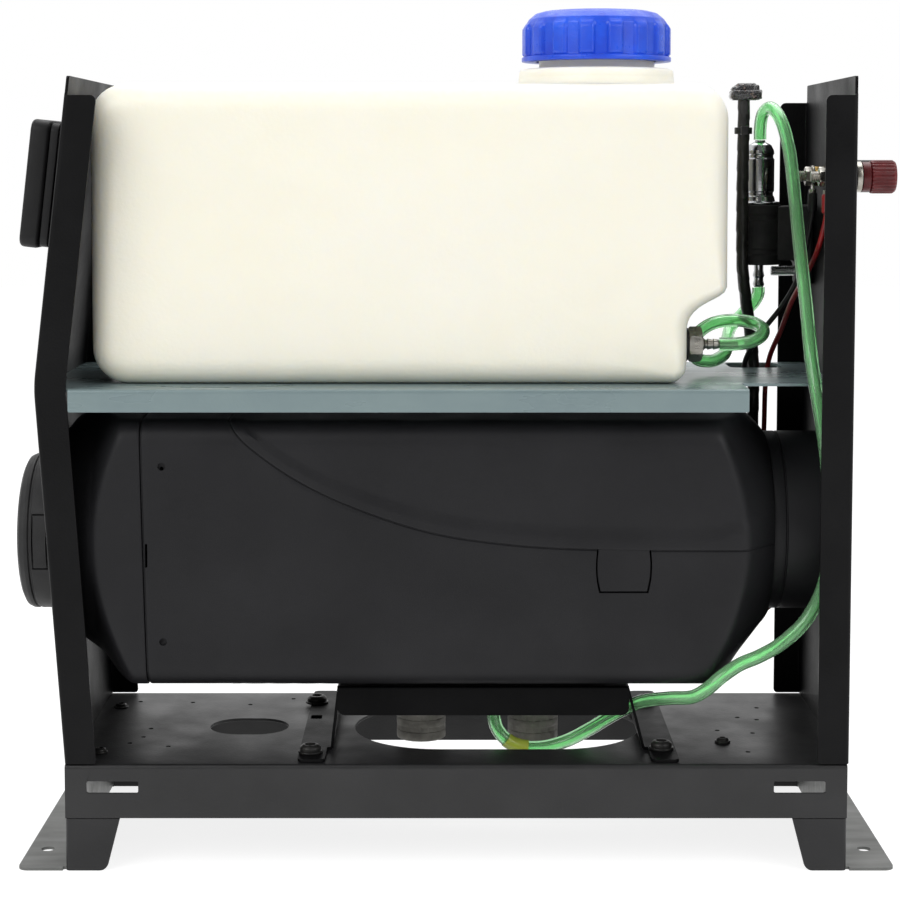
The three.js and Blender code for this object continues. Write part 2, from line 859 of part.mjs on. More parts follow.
function pumpSpring() {
  const low = pumpChamberBottom + pistonLength + 2 * gap + springWire;
  const high = pumpChamberTop - gap - springWire;
  const radius = pumpChamberRadius - springWire - 2 * gap;
  const points = [];
  const pieces = springTurns * 8;
  for (let i = 0; i <= pieces; i += 1) {
    const angle = (i / 8) * Math.PI * 2;
    const climb = i / pieces;
    const x = pumpX + radius * Math.cos(angle);
    const y = pumpY + radius * Math.sin(angle);
    points.push([x, y, low + (high - low) * climb]);
  }
  return cordAlong(points, springWire, 4, pieces);
}

/** A rubber ring round the pump, an arm to the right plate, and an ear that the bolt passes through. */
function pumpMount() {
  const low = pumpBottom;
  const high = low + mountHeight;
  const half = mountArmWidth / 2;
  const earLow = mountBoltZ - half + 1;
  const bore = pumpRadius + gap;
  return cut(
    join(
      rod('z', pumpAt, mountRadius, low, high, 20),
      box(pumpX + bore, rightInner, pumpY - half, pumpY + half, low + 2.5, high),
      box(rightInner - mountEarLength, rightInner, pumpY - half, pumpY + half, earLow, low + 3.5),
    ),
    rod('z', pumpAt, bore, low - 1, high + 1, 20),
    rod('x', [0, pumpY, mountBoltZ], mountBoltRadius + gap, mountBoltInner, rightX, 12),
  );
}

function pumpMountBolt() {
  const at = [0, pumpY, mountBoltZ];
  const head = rightX + gap;
  return join(
    rod('x', at, mountBoltRadius, mountBoltInner, head + 1, 12),
    hexagon(at, boltHeadFlats, head, head + boltHeadHeight),
  );
}

// ---- Hoses and wiring ---------------------------------------------------------------------------

/** From the tank's barb, once round in a flat loop, and up to the pump's lower nipple. */
function tankHose() {
  const start = barbX + barbLength + gap;
  const end = pumpBottom - nippleLength - gap;
  return cordAlong(
    [
      [start, outletY, outletZ],
      [start + 7, outletY, outletZ],
      [153, -19, 263.5],
      [160, -12, 266],
      [162.5, -1, 269],
      [158.5, 9, 271.5],
      [149, 14, 272.5],
      [138, 12.5, 271],
      [129, 6, 266],
      [125, 0, 259.5],
      [127.5, -2.5, 253.5],
      [135, 3, 251.5],
      [143, 15, 253],
      [147.5, 29, 256],
      [149.5, 43, 260],
      [153, 54, 266],
      [160, 58.5, 273],
      [165.5, 54.5, 279.5],
      [pumpX, pumpY, end - 3],
      [pumpX, pumpY, end],
    ],
    hoseRadius, 8, 38,
  );
}

/** From the pump's nozzle over and down through the shelf's notch, round the heater and under it. */
function heaterHose() {
  const start = pumpTop + nozzleLength + gap;
  const end = fuelStubBottom - gap;
  return cordAlong(
    [
      [pumpX, pumpY, start],
      [pumpX, pumpY, start + 6],
      [168, 46.5, 383],
      [171, 38, 386.5],
      [175, 27, 380],
      [178, 16, 364],
      [179, 5, 345],
      [179.5, -11, 317],
      [180, -33, 286],
      [180.5, -53, 254],
      [184, -60, 228],
      [187.5, -62, 200],
      [188.5, -62, 165],
      [186, -62, 143],
      [177, -62, 125],
      [165, -63.5, 114],
      [153, -66.8, 108],
      [143, -69.5, 104.5],
      [133.5, -71.4, 98.5],
      [127, -70.4, 92.5],
      [120, -65.5, 87],
      [109, -56.5, 84],
      [95, -43, 78.5],
      [83, -37, 71],
      [70, -32, 61.5],
      [57, -29, 54],
      [43, fuelStubY, 50.5],
      [30, fuelStubY, 52.5],
      [22, fuelStubY, 60],
      [fuelStubX, fuelStubY, 69],
      [fuelStubX, fuelStubY, end],
    ],
    hoseRadius, 8, 46,
  );
}

function wiringHarness() {
  return cordAlong(
    [
      [156.3, 37, harnessTop],
      [156.3, 37, 370],
      [156.3, 37, 335],
      [156.3, 37, 312],
      [157, 38.5, 298],
      [159.3, 42.5, 284],
      [162.5, 48.5, 267],
      [165.2, 54, 249],
      [165.7, 55.5, 236],
      [166, 58, 215],
      [166, 60.5, 190],
      [167, 60, 165],
      [171, 56, 142],
      [173.5, 51, 124],
      [172, 47.5, 110],
      [165, 44.5, 102],
      [158, 43.5, 100],
      [glandEndX + gap, glandY + 1, glandZ - 3],
    ],
    harnessRadius, 8, 26,
  );
}

function redLead() {
  return cordAlong(
    [
      [rightX + terminalX, -postY, postZ - terminalDrop - gap],
      [rightX + terminalX, -postY, 330],
      [189, -15, 312],
      [185, 3, 296],
      [181, 22, 281],
      [178.5, 38, 266],
      [174, 51, 249],
      [172.6, 54.5, 236],
      [172.4, 57, 215],
      [172.6, 59.5, 190],
      [174, 58, 165],
      [178, 54, 142],
      [179.5, 48.5, 122],
      [175, 43.5, 111.5],
      [165, 40, 107.5],
      [158, 39.2, 107],
      [glandEndX + gap, glandY - 3.2, glandZ + 4],
    ],
    leadRadius, 8, 26,
  );
}

function blackLead() {
  return cordAlong(
    [
      [rightX + terminalX, postY, postZ - terminalDrop - gap],
      [rightX + terminalX, postY, 330],
      [189.5, 25, 312],
      [186, 31, 294],
      [178.5, 35.5, 279],
      [168, 40, 264],
      [160.5, 44.5, 250],
      [158.8, 47, 240],
      [158.6, 51, 220],
      [158.8, 56, 195],
      [160.3, 59.3, 170],
      [164, 58, 147],
      [167, 54, 128],
      [165, 51, 115],
      [160, 48, 108.5],
      [glandEndX + 4, glandY + 4, 107],
      [glandEndX + gap, glandY + 4, glandZ + 4],
    ],
    leadRadius, 8, 26,
  );
}

/** The plug and socket that the upper end of the harness runs into. */
function harnessConnector() {
  const x = 157.5;
  const y = 38;
  const low = harnessTop + gap;
  const halfX = connectorLength / 2;
  const halfY = connectorDepth / 2;
  const waist = connectorLength / 6;
  return join(
    prism(roundRect(x - halfX, x + halfX, y - halfY, y + halfY, 2), 'z', low, low + connectorHeight * 0.6, 2),
    box(x - halfX + waist, x + halfX - waist, y - halfY + 1.5, y + halfY - 1.5, low, low + connectorHeight),
  );
}

function harnessTie() {
  const at = [156.3, 37, 0];
  const inner = harnessRadius + gap;
  const outer = inner + tieThickness;
  const low = tieZ - tieWidth / 2;
  const high = low + tieWidth;
  const band = turned([[inner, low], [outer, low], [outer, high], [inner, high]], 'z', at, 14);
  const lockBack = at[1] - inner - 0.2;
  const lock = box(at[0] - 2.2, at[0] + 2.2, at[1] - outer - 3, lockBack, low - 0.7, high + 0.7);
  return join(band, lock);
}

// ---- Binding posts ------------------------------------------------------------------------------

// Places along a post from the plate's outer face, inwards negative
const innerNut = -sheet - gap;
const terminalX = innerNut - postNutLength - gap - terminalThickness / 2;
const lockNut = innerNut - postNutLength - terminalThickness - 2 * gap;
const terminalDrop = postFlangeRadius - 3 + terminalBarrel;
const collarFace = postFlangeLength + gap;
const knobFace = collarFace + postCollarLength + gap;

function postInsulator() {
  const bore = postStudRadius + gap;
  return turned(
    [
      [bore, -sheet],
      [postBushRadius, -sheet],
      [postBushRadius, gap],
      [postFlangeRadius, gap],
      [postFlangeRadius, postFlangeLength - 1],
      [postFlangeRadius - 1, postFlangeLength],
      [bore, postFlangeLength],
    ],
    'x', [0, 0, 0], 16,
  );
}

function postStud() {
  const at = [0, 0, 0];
  const tip = postKnobEnd - 3 - gap;
  return join(
    rod('x', at, postStudRadius, -postInside, tip, 12),
    hexagon(at, postNutFlats, innerNut - postNutLength, innerNut),
    hexagon(at, postNutFlats, lockNut - postNutLength, lockNut),
    rod('x', at, postCollarRadius, collarFace, collarFace + postCollarLength, 18),
  );
}

/** The threaded metal insert that carries the knob. */
function postInsert() {
  const bore = postStudRadius + runGap;
  const end = knobFace + postInsertLength;
  const profile = [[bore, knobFace], [postInsertRadius, knobFace], [postInsertRadius, end], [bore, end]];
  return turned(profile, 'x', [0, 0, 0], 14);
}

function postKnob() {
  const insertRoom = postInsertRadius + runGap;
  const insertEnd = knobFace + postInsertLength + runGap;
  const bore = postStudRadius + runGap;
  const round = postKnobRadius;
  const end = postKnobEnd;
  return turned(
    [
      [insertRoom, knobFace],
      [round - 0.9, knobFace],
      [round - 0.9, knobFace + 4],
      [round, knobFace + 4.6],
      [round, end - 1.2],
      [round - 1.2, end],
      [0, end],
      [0, end - 3],
      [bore, end - 3],
      [bore, insertEnd],
      [insertRoom, insertEnd],
    ],
    'x', [0, 0, 0], postKnobFlats,
  );
}

/** A ring terminal with its crimped barrel hanging down. */
function ringTerminal() {
  const half = terminalThickness / 2;
  const outer = postFlangeRadius - 3;
  return cut(
    join(
      rod('x', [terminalX, 0, 0], outer, -half, half, 16),
      rod('z', [terminalX, 0, 0], 2, -terminalDrop, -outer + 1.4, 10),
    ),
    rod('x', [terminalX, 0, 0], postStudRadius + gap, -half - 1, half + 1, 12),
    box(terminalX - 3, terminalX - half, -3, 3, -outer, outer),
    box(terminalX + half, terminalX + 3, -3, 3, -outer, outer),
  );
}

function bindingPost(colour, side, plastic) {
  const post = new THREE.Group();
  post.position.set(rightX, side * postY, postZ);
  place(`${colour}_post_insulator`, postInsulator(), plastic, post);
  place(`${colour}_post_stud`, postStud(), 'chrome', post);
  place(`${colour}_post_insert`, postInsert(), 'brass', post);
  place(`${colour}_post_knob`, postKnob(), plastic, post);
  place(`${colour}_terminal`, ringTerminal(), 'brass', post);
  heater.add(post);
}

// ---- Controller ---------------------------------------------------------------------------------

// Its group stands on the left plate's outer face: -X points away from the plate, +Z up along it.
const controllerBackX = -controllerStandoff;
const controllerSplitX = controllerBackX - controllerBackDepth;
const controllerFaceX = controllerSplitX - gap - controllerFrontDepth;
const controllerInnerX = controllerFaceX + controllerWall;

function controllerOutline(inset) {
  const w = controllerWidth / 2 - inset;
  const h = controllerHeight / 2 - inset;
  return roundRect(-w, w, -h, h, controllerCorner - inset);
}

function controllerBracket() {
  const reach = controllerBackX + gap;
  return join(
    box(reach, -gap, -26, 26, -15, -9),
    box(reach, -gap, -26, 26, 9, 15),
    box(reach, reach + sheet, -26, 26, -15, 15),
  );
}

function controllerBack() {
  const hook = box(controllerSplitX + 1, controllerBackX, -8, 8, 0, controllerHeight / 2 + 4.5);
  const tray = cut(
    prism(controllerOutline(1), 'x', controllerSplitX, controllerBackX, 2),
    prism(controllerOutline(1 + controllerWall), 'x', controllerSplitX - 1, controllerBackX - 1.5, 2),
  );
  return join(tray, hook);
}

function buttonPlaces() {
  const first = (-(buttonCount - 1) * buttonSpacing) / 2;
  return Array.from({ length: buttonCount }, (_, i) => first + i * buttonSpacing);
}

function controllerFront() {
  const w = displayWidth / 2;
  const h = displayHeight / 2;
  let front = cut(
    prism(controllerOutline(0), 'x', controllerFaceX, controllerSplitX - gap, 2),
    prism(controllerOutline(controllerWall), 'x', controllerInnerX, controllerSplitX + 1, 2),
    box(controllerFaceX - 1, controllerInnerX + 1, -w, w, displayZ - h, displayZ + h),
  );
  for (const y of buttonPlaces()) {
    const hole = rod('x', [0, y, buttonZ], buttonRadius + gap, controllerFaceX - 1, controllerInnerX + 1, 16);
    front = cut(front, hole);
  }
  return front;
}

function controllerDisplay() {
  const w = displayWidth / 2;
  const h = displayHeight / 2;
  const back = controllerInnerX + gap;
  const wide = w + displayLap;
  const high = h + displayLap;
  return join(
    box(back, back + displayThickness, -wide, wide, displayZ - high, displayZ + high),
    box(controllerFaceX + 0.6, back + 0.5, -w + gap, w - gap, displayZ - h + gap, displayZ + h - gap),
  );
}

function controllerButton(y) {
  const at = [0, y, buttonZ];
  const flange = controllerInnerX + gap;
  const face = controllerFaceX - buttonProud;
  const root = flange + 0.5;
  return join(
    turned(
      [[0, face], [buttonRadius - 0.6, face], [buttonRadius, face + 0.6], [buttonRadius, root], [0, root]],
      'x', at, 16,
    ),
    rod('x', at, buttonRadius + buttonFlange, flange, flange + 1, 16),
  );
}

function controller() {
  const group = new THREE.Group();
  group.position.set(leftFace(controllerZ), 0, controllerZ);
  group.rotation.y = Math.atan(upperSlope);
  place('controller_bracket', controllerBracket(), 'darkSteel', group);
  place('controller_back', controllerBack(), 'glossBlack', group);
  place('controller_front', controllerFront(), 'blackPlastic', group);
  place('controller_display', controllerDisplay(), 'display', group);
  buttonPlaces().forEach((y, i) => {
    place(`controller_button_${i + 1}`, controllerButton(y), 'glossBlack', group);
  });
  heater.add(group);
}

// ---- Air outlet ---------------------------------------------------------------------------------

/** Everything on one side of the left plate's web, from the floor to above the heater. */
function besideWeb(offset, reach) {
  const low = trayTop;
  const high = leftBendZ;
  const line = [[leftFace(low) + offset, low], [leftFace(high) + offset, high]];
  return prism([...line, [reach, high], [reach, low]], 'y', -halfDepth, halfDepth);
}

function ventRing() {
  const at = [0, 0, ventZ];
  const sleeve = ventBore + ventSleeveWall;
  const faceEnd = ventFaceX + ventEdge;
  const ring = turned(
    [
      [ventBore, ventFaceX + 1],
      [ventBore + 1, ventFaceX],
      [ventRadius - ventEdge, ventFaceX],
      [ventRadius - 1.2, ventFaceX + 1.4],
      [ventRadius, faceEnd],
      [ventRadius, ventSleeveEnd],
      [ventBore, ventSleeveEnd],
    ],
    'x', at, 24,
  );
  const outside = besideWeb(-gap, ventFaceX - 5);
  const tube = turned(
    [[ventBore, faceEnd], [sleeve, faceEnd], [sleeve, ventSleeveEnd], [ventBore, ventSleeveEnd]],
    'x', at, 24,
  );
  return join(ring.intersect(outside), tube);
}

/** The turning insert: a rim with slanted blades across it. */
function ventLouvre() {
  const outer = ventBore - runGap;
  const inner = outer - louvreRim;
  const face = ventFaceX + 1;
  const back = face + louvreDepth;
  const middle = (face + back) / 2;
  const rim = turned([[inner, face], [outer, face], [outer, back], [inner, back]], 'x', [0, 0, 0], 24);
  const spacing = (2 * inner) / (louvreBlades + 1);
  const half = louvreBladeThickness / 2;
  let blades = null;
  for (let i = 0; i < louvreBlades; i += 1) {
    const z = (i - (louvreBlades - 1) / 2) * spacing;
    const flat = box(-louvreDepth / 2 + 1, louvreDepth / 2 - 1, -outer, outer, -half, half);
    const blade = turnedAbout(flat, 'y', THREE.MathUtils.radToDeg(louvreTilt)).translate([middle, 0, z]);
    blades = blades ? join(blades, blade) : blade;
  }
  const spine = box(middle - 1.2, middle + 1.2, -1.2, 1.2, -inner - 1, inner + 1);
  const inRim = rod('x', [0, 0, 0], inner + 0.8, face, back, 24);
  return join(rim, join(blades, spine).intersect(inRim));
}

// ---- Heater casing ------------------------------------------------------------------------------

/** The casing's outer form, or its inside at an inset: a round-cornered block with a cone at each end. */
function casingForm(inset) {
  const side = heaterHalfDepth - inset;
  const block = roundRect(-side, side, heaterBottom + inset, heaterTop - inset, heaterCorner - inset);
  const reach = 32 / coneSlope;
  const shrink = inset * Math.hypot(1, coneSlope);
  const wide = heaterHalfDepth + 32 - shrink;
  const cones = turned(
    [
      [0, outletMouthX],
      [outletMouthRadius - inset, outletMouthX],
      [outletNeckRadius - inset, outletNeckX],
      [heaterHalfDepth - shrink, heaterLeftShoulder],
      [wide, heaterLeftShoulder + reach],
      [wide, heaterRightShoulder - reach],
      [heaterHalfDepth - shrink, heaterRightShoulder],
      [inletEndRadius - inset, inletEndX],
      [0, inletEndX],
    ],
    'x', [0, 0, heaterAxisZ], 28,
  );
  const shell = prism(block, 'x', outletMouthX - 1, inletEndX + 1, 3).intersect(cones);
  return shell.intersect(besideWeb(sheet + gap + inset, inletEndX + 5));
}

/** The line on which the upper casing meets the lower one, from the top edge round to the inlet. */
function partingLine() {
  const knots = [
    [-118, 234], [-110.3, 221.4], [-95.8, 208.8], [-78.7, 197.5], [-56.5, 186.5], [-13.3, 171.9],
    [30.4, 165.3], [73.7, 163], [110, 162.6], [inletEndX + 5, 162.6],
  ];
  return new THREE.SplineCurve(knots.map((p) => new THREE.Vector2(...p))).getPoints(18);
}

function aboveParting(shift) {
  const line = partingLine().map((p) => [p.x - shift, p.y - shift]);
  const roof = heaterTop + 10;
  return prism([...line, [inletEndX + 5, roof], [line[0][0], roof]], 'y', -halfDepth, halfDepth);
}

/** The barrel-shaped latch tab, grown by a margin, at the front and the back of the casing. */
function latchTabs(margin) {
  const middle = (latchTop + latchBottom) / 2;
  const tab = new THREE.Shape();
  tab.moveTo(latchLeft - margin, latchTop + 2);
  tab.quadraticCurveTo(latchLeft - margin - latchBulge, middle, latchLeft - margin + 1, latchBottom - margin);
  tab.lineTo(latchRight + margin - 1, latchBottom - margin);
  tab.quadraticCurveTo(latchRight + margin + latchBulge, middle, latchRight + margin, latchTop + 2);
  const front = prism(tab, 'y', -heaterHalfDepth - 1, -heaterHalfDepth + heaterWall + 1, 3);
  const back = prism(tab, 'y', heaterHalfDepth - heaterWall - 1, heaterHalfDepth + 1, 3);
  return join(front, back);
}

function leftOfSeam(shift) {
  const low = heaterBottom - 5;
  const high = heaterTop + 5;
  const far = outletMouthX - 5;
  return prism(
    [[far, low], [hoodSeamBottomX - shift, low], [hoodSeamTopX - shift, high], [far, high]],
    'y', -halfDepth, halfDepth,
  );
}

function casing() {
  const shell = cut(
    casingForm(0),
    casingForm(heaterWall),
    rod('x', [0, 0, heaterAxisZ], inletBore, inletEndX - 15, inletEndX + 1, 32),
    rod('x', [0, 0, heaterAxisZ], outletMouthBore, outletMouthX - 1, outletNeckX + 8, 28),
  );
  const half = casingOpeningHalfDepth;
  const opening = box(casingOpeningLeft, casingOpeningRight, -half, half, heaterBottom - 1, heaterBottom + 5);
  const notchX = (hoodSeamTopX + hoodSeamBottomX) / 2;
  const notches = box(notchX - 1, notchX + 2.5, -halfDepth, halfDepth, heaterAxisZ - 11, heaterAxisZ + 1);
  const clips = [heaterAxisZ + 40, heaterAxisZ - 49].map((z) => {
    const x = notchX + 8;
    return box(x, x + clipHole, -halfDepth, halfDepth, z - clipHole / 2, z + clipHole / 2);
  });
  const body = cut(shell, leftOfSeam(-gap));
  const lower = cut(
    body,
    aboveParting(gap),
    latchTabs(gap),
    opening,
    notches,
    ...clips,
    rod('x', [0, glandY, glandZ], glandRadius + gap, glandEndX - glandLength, inletEndX, 14),
  );
  const tabs = latchTabs(0).intersect(body);
  return {
    hood: shell.intersect(leftOfSeam(0)),
    lower,
    upper: join(body.intersect(aboveParting(0)), tabs),
  };
}

function inletCollar() {
  const start = inletEndX + gap;
  const groove = start + 6;
  const inner = collarRadius - collarWall;
  return turned(
    [
      [inner, start],
      [collarRadius, start],
      [collarRadius, groove],
      [collarRadius - 1, groove + 0.6],
      [collarRadius, groove + 1.2],
      [collarRadius, rightInner],
      [inner, rightInner],
    ],
    'x', [0, 0, collarZ], 28,
  );
}

/** Rings and spokes across the inlet, set into the end of the casing. */
function inletGrille() {
  const outer = inletBore - gap;
  const end = inletEndX - 0.5;
  const start = end - grilleThickness;
  const at = [0, 0, heaterAxisZ];
  let grille = rod('x', at, grilleHub, start, end, 16);
  const pitch = (outer - grilleHub) / grilleRings;
  for (let i = 1; i <= grilleRings; i += 1) {
    const radius = grilleHub + i * pitch;
    const width = i === grilleRings ? grilleRim : grilleRim / 2;
    const low = radius - width;
    const ring = turned([[low, start], [radius, start], [radius, end], [low, end]], 'x', at, 24);
    grille = join(grille, ring);
  }
  for (let i = 0; i < grilleSpokes; i += 1) {
    const spoke = box(start, end, 0, outer - 1, -1, 1);
    grille = join(grille, turnedAbout(spoke, 'x', (i * 360) / grilleSpokes + 30).translate([0, 0, heaterAxisZ]));
  }
  return grille;
}

// ---- Inside the heater --------------------------------------------------------------------------

const axis = [0, 0, heaterAxisZ];

function stub(x, radius, top) {
  return rod('z', [x, 0, 0], radius, stubBottom, top, 20);
}

/** A finned casting, closed at its outlet end, with the exhaust outlet and its seat at the bottom. */
function heatExchanger() {
  let body = turned(
    [
      [0, exchangerLeft],
      [exchangerRadius - 6, exchangerLeft],
      [exchangerRadius, exchangerLeft + 6],
      [exchangerRadius, exchangerRight],
      [exchangerBore, exchangerRight],
      [exchangerBore, exchangerLeft + exchangerEnd],
      [0, exchangerLeft + exchangerEnd],
    ],
    'x', axis, 16,
  );
  const tip = exchangerRadius + finHeight;
  const half = finThickness / 2;
  const fin = box(exchangerLeft + 8, exchangerRight - 6, exchangerRadius - 1, tip, -half, half);
  for (let i = 0; i < finCount; i += 1) {
    const angle = (i * 360) / finCount;
    const low = angle > 215 && angle < 325;
    if (!low) body = join(body, turnedAbout(fin, 'x', angle).translate(axis));
  }
  const seat = exhaustRadius + 4;
  const bore = exhaustRadius - stubWall;
  return cut(
    join(
      body,
      box(exhaustX - seat, exhaustX + seat, -seat - 5, seat + 5, heaterBottom, heaterAxisZ - exchangerRadius + 3),
      stub(exhaustX, exhaustRadius, heaterBottom + 5),
    ),
    rod('z', [exhaustX, 0, 0], bore, stubBottom - 1, heaterAxisZ - exchangerBore + 3, 18),
    rod('z', [glowPlugX, 0, 0], glowPlugRadius + gap, heaterAxisZ, heaterAxisZ + tip, 12),
  );
}

function burner() {
  const right = exchangerRight - 1;
  const flange = right - burnerFlange;
  const inner = burnerRadius - burnerWall;
  return turned(
    [
      [inner, burnerLeft],
      [burnerRadius, burnerLeft],
      [burnerRadius, flange],
      [exchangerBore - gap, flange],
      [exchangerBore - gap, right],
      [10, right],
      [10, flange + 1],
      [inner, flange + 1],
    ],
    'x', axis, 16,
  );
}

function glowPlug() {
  const seat = heaterAxisZ + exchangerRadius + gap;
  const at = [glowPlugX, 0, 0];
  return join(
    rod('z', at, glowPlugRadius, heaterAxisZ + burnerRadius + 1, seat + 9, 12),
    rod('z', at, glowPlugRadius + 3, seat, seat + 4, 6),
  );
}

/** The fan housing's ring, the seat under it, the combustion-air inlet and the fuel inlet. */
function fanHousing() {
  const left = exchangerRight + gap;
  const room = left + housingFront;
  const half = casingOpeningHalfDepth - 2;
  const ring = turned(
    [
      [housingEye, left],
      [housingRadius, left],
      [housingRadius, housingRight],
      [shaftRadius + 1, housingRight],
      [shaftRadius + 1, housingRight - housingWall],
      [housingCavity, housingRight - housingWall],
      [housingCavity, room],
      [housingEye, room],
    ],
    'x', axis, 16,
  );
  const seatLeft = fuelStubX - 6;
  const seatRight = intakeX + intakeRadius + 4;
  const bore = intakeRadius - stubWall;
  const riser = intakeX + 6;
  return cut(
    join(
      ring,
      box(seatLeft, seatRight, -half, half, heaterBottom, pedestalTop),
      box(riser - 8, riser + 8, -12, 12, pedestalTop - 2, heaterAxisZ - housingRadius + 8),
      stub(intakeX, intakeRadius, heaterBottom + 5),
      rod('z', [fuelStubX, fuelStubY, 0], fuelStubRadius, fuelStubBottom, heaterBottom + 5, 12),
    ),
    rod('z', [intakeX, 0, 0], bore, stubBottom - 1, pedestalTop - 6, 18),
    rod('z', [riser, 0, 0], 5, pedestalTop - 10, heaterAxisZ - housingCavity + 3, 12),
    rod('z', [fuelStubX, fuelStubY, 0], fuelStubRadius - 1.3, fuelStubBottom - 1, pedestalTop - 4, 12),
  );
}

function motor() {
  const bore = shaftRadius + gap;
  const shoulder = motorRight - 4;
  return turned(
    [
      [bore, motorLeft],
      [motorRadius, motorLeft],
      [motorRadius, shoulder],
      [motorRadius - 4, motorRight],
      [bore, motorRight],
    ],
    'x', axis, 16,
  );
}

function rotorShaft() {
  return rod('x', [0, 0, 0], shaftRadius, impellerLeft - 3, blowerLeft + blowerLength - 6, 12);
}

/** A wheel on the shaft: a back plate, a hub and straight blades, with its bore round the shaft. */
function bladedWheel(left, length, radius, hub, blades, lean) {
  const at = [0, 0, 0];
  const back = left + blowerPlate;
  const hubEnd = left + length * 0.8;
  let wheel = join(rod('x', at, radius, left, back, 20), rod('x', at, hub, back - 0.5, hubEnd, 12));
  for (let i = 0; i < blades; i += 1) {
    const flat = box(back - 0.5, left + length, hub - 2, radius - 1, -0.9, 0.9);
    const blade = turnedAbout(turnedAbout(flat, 'x', lean), 'x', (i * 360) / blades);
    wheel = join(wheel, blade);
  }
  return cut(wheel, rod('x', at, shaftRadius + gap, left - 1, left + length + 1, 12));
}

function controlUnit() {
  const half = controlWidth / 2;
  const low = heaterAxisZ + motorRadius + gap;
  return join(
    box(motorLeft + 1, motorRight - 1, -half, half, low, low + controlHeight - 3),
    box(motorLeft + 4, motorRight - 4, -half + 3, half - 3, low, low + controlHeight),
  );
}

function rotor() {
  const group = new THREE.Group();
  group.position.set(...axis);
  place('rotor_shaft', rotorShaft(), 'bareSteel', group);
  const impeller = bladedWheel(impellerLeft, impellerLength, impellerRadius, 9, impellerBlades, 0);
  place('combustion_wheel', impeller, 'castAluminium', group);
  const blower = bladedWheel(blowerLeft, blowerLength, blowerRadius, blowerHub, blowerBlades, 0);
  place('blower_wheel', blower, 'blackPlastic', group);
  heater.add(group);
}

function baseGasket() {
  const half = casingOpeningHalfDepth + gasketLap;
  const low = bridgeTop + gap;
  const high = low + gasketThickness;
  const outline = roundRect(casingOpeningLeft - gasketLap, casingOpeningRight + gasketLap, -half, half, 6);
  return cut(
    prism(outline, 'z', low, high, 2),
    rod('z', [exhaustX, 0, 0], exhaustRadius + gap, low - 1, high + 1, 20),
    rod('z', [intakeX, 0, 0], intakeRadius + gap, low - 1, high + 1, 20),
    rod('z', [fuelStubX, fuelStubY, 0], fuelStubRadius + gap, low - 1, high + 1, 12),
  );
}

function wiringGland() {
  return rod('x', [0, glandY, glandZ], glandRadius, glandEndX - glandLength + gap, glandEndX, 14);
}

// ---- Assembly -----------------------------------------------------------------------------------

const foot = footBracket();
place('base_tray', baseTray(), 'darkSteel');
place('left_foot_bracket', foot, 'greySteel');
place('right_foot_bracket', foot.mirror([1, 0, 0]), 'greySteel');
place('left_end_plate', leftEndPlate(), 'darkSteel');
place('right_end_plate', rightEndPlate(), 'darkSteel');
place('tank_shelf', tankShelf(), 'galvanised');
place('heater_bracket', heaterBracket(), 'darkSteel');

place('fuel_tank', fuelTank(), 'tankPlastic');
const neck = new THREE.Group();
neck.position.set(neckX, 0, 0);
place('tank_cap', tankCap(), 'bluePlastic', neck);
place('cap_seal', capSeal(), 'rubber', neck);
heater.add(neck);
place('outlet_washer', outletWasher(), 'rubber');
place('tank_outlet', tankOutlet(), 'bareSteel');

place('pump_body', pumpBody(), 'chrome');
place('pump_piston', pumpPiston(), 'bareSteel');
place('pump_spring', pumpSpring(), 'bareSteel');
place('pump_mount', pumpMount(), 'rubber');
place('pump_mount_bolt', pumpMountBolt(), 'bareSteel');

place('fuel_hose_tank', tankHose(), 'greenHose');
place('fuel_hose_heater', heaterHose(), 'greenHose');
place('wiring_harness', wiringHarness(), 'blackLead');
place('harness_connector', harnessConnector(), 'glossBlack');
place('harness_tie', harnessTie(), 'blackPlastic');
place('red_lead', redLead(), 'redLead');
place('black_lead', blackLead(), 'blackLead');

bindingPost('red', -1, 'redPlastic');
bindingPost('black', 1, 'glossBlack');
controller();

place('vent_ring', ventRing(), 'greyPlastic');
const outlet = new THREE.Group();
outlet.position.set(0, 0, ventZ);
place('vent_louvre', ventLouvre(), 'greyPlastic', outlet);
heater.add(outlet);

const shells = casing();
place('outlet_hood', shells.hood, 'blackPlastic');
place('heater_lower_casing', shells.lower, 'blackPlastic');
place('heater_upper_casing', shells.upper, 'blackPlastic');
place('inlet_collar', inletCollar(), 'blackPlastic');
place('inlet_grille', inletGrille(), 'blackPlastic');

place('heat_exchanger', heatExchanger(), 'castAluminium');
place('burner', burner(), 'bareSteel');
place('glow_plug', glowPlug(), 'bareSteel');
place('fan_housing', fanHousing(), 'castAluminium');
place('motor', motor(), 'bareSteel');
rotor();
place('control_unit', controlUnit(), 'blackPlastic');
place('base_gasket', baseGasket(), 'gasket');
place('wiring_gland', wiringGland(), 'rubber');

export default heater;
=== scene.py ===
import math

import bmesh
import bpy
import numpy as np
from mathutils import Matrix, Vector
from mathutils.geometry import delaunay_2d_cdt


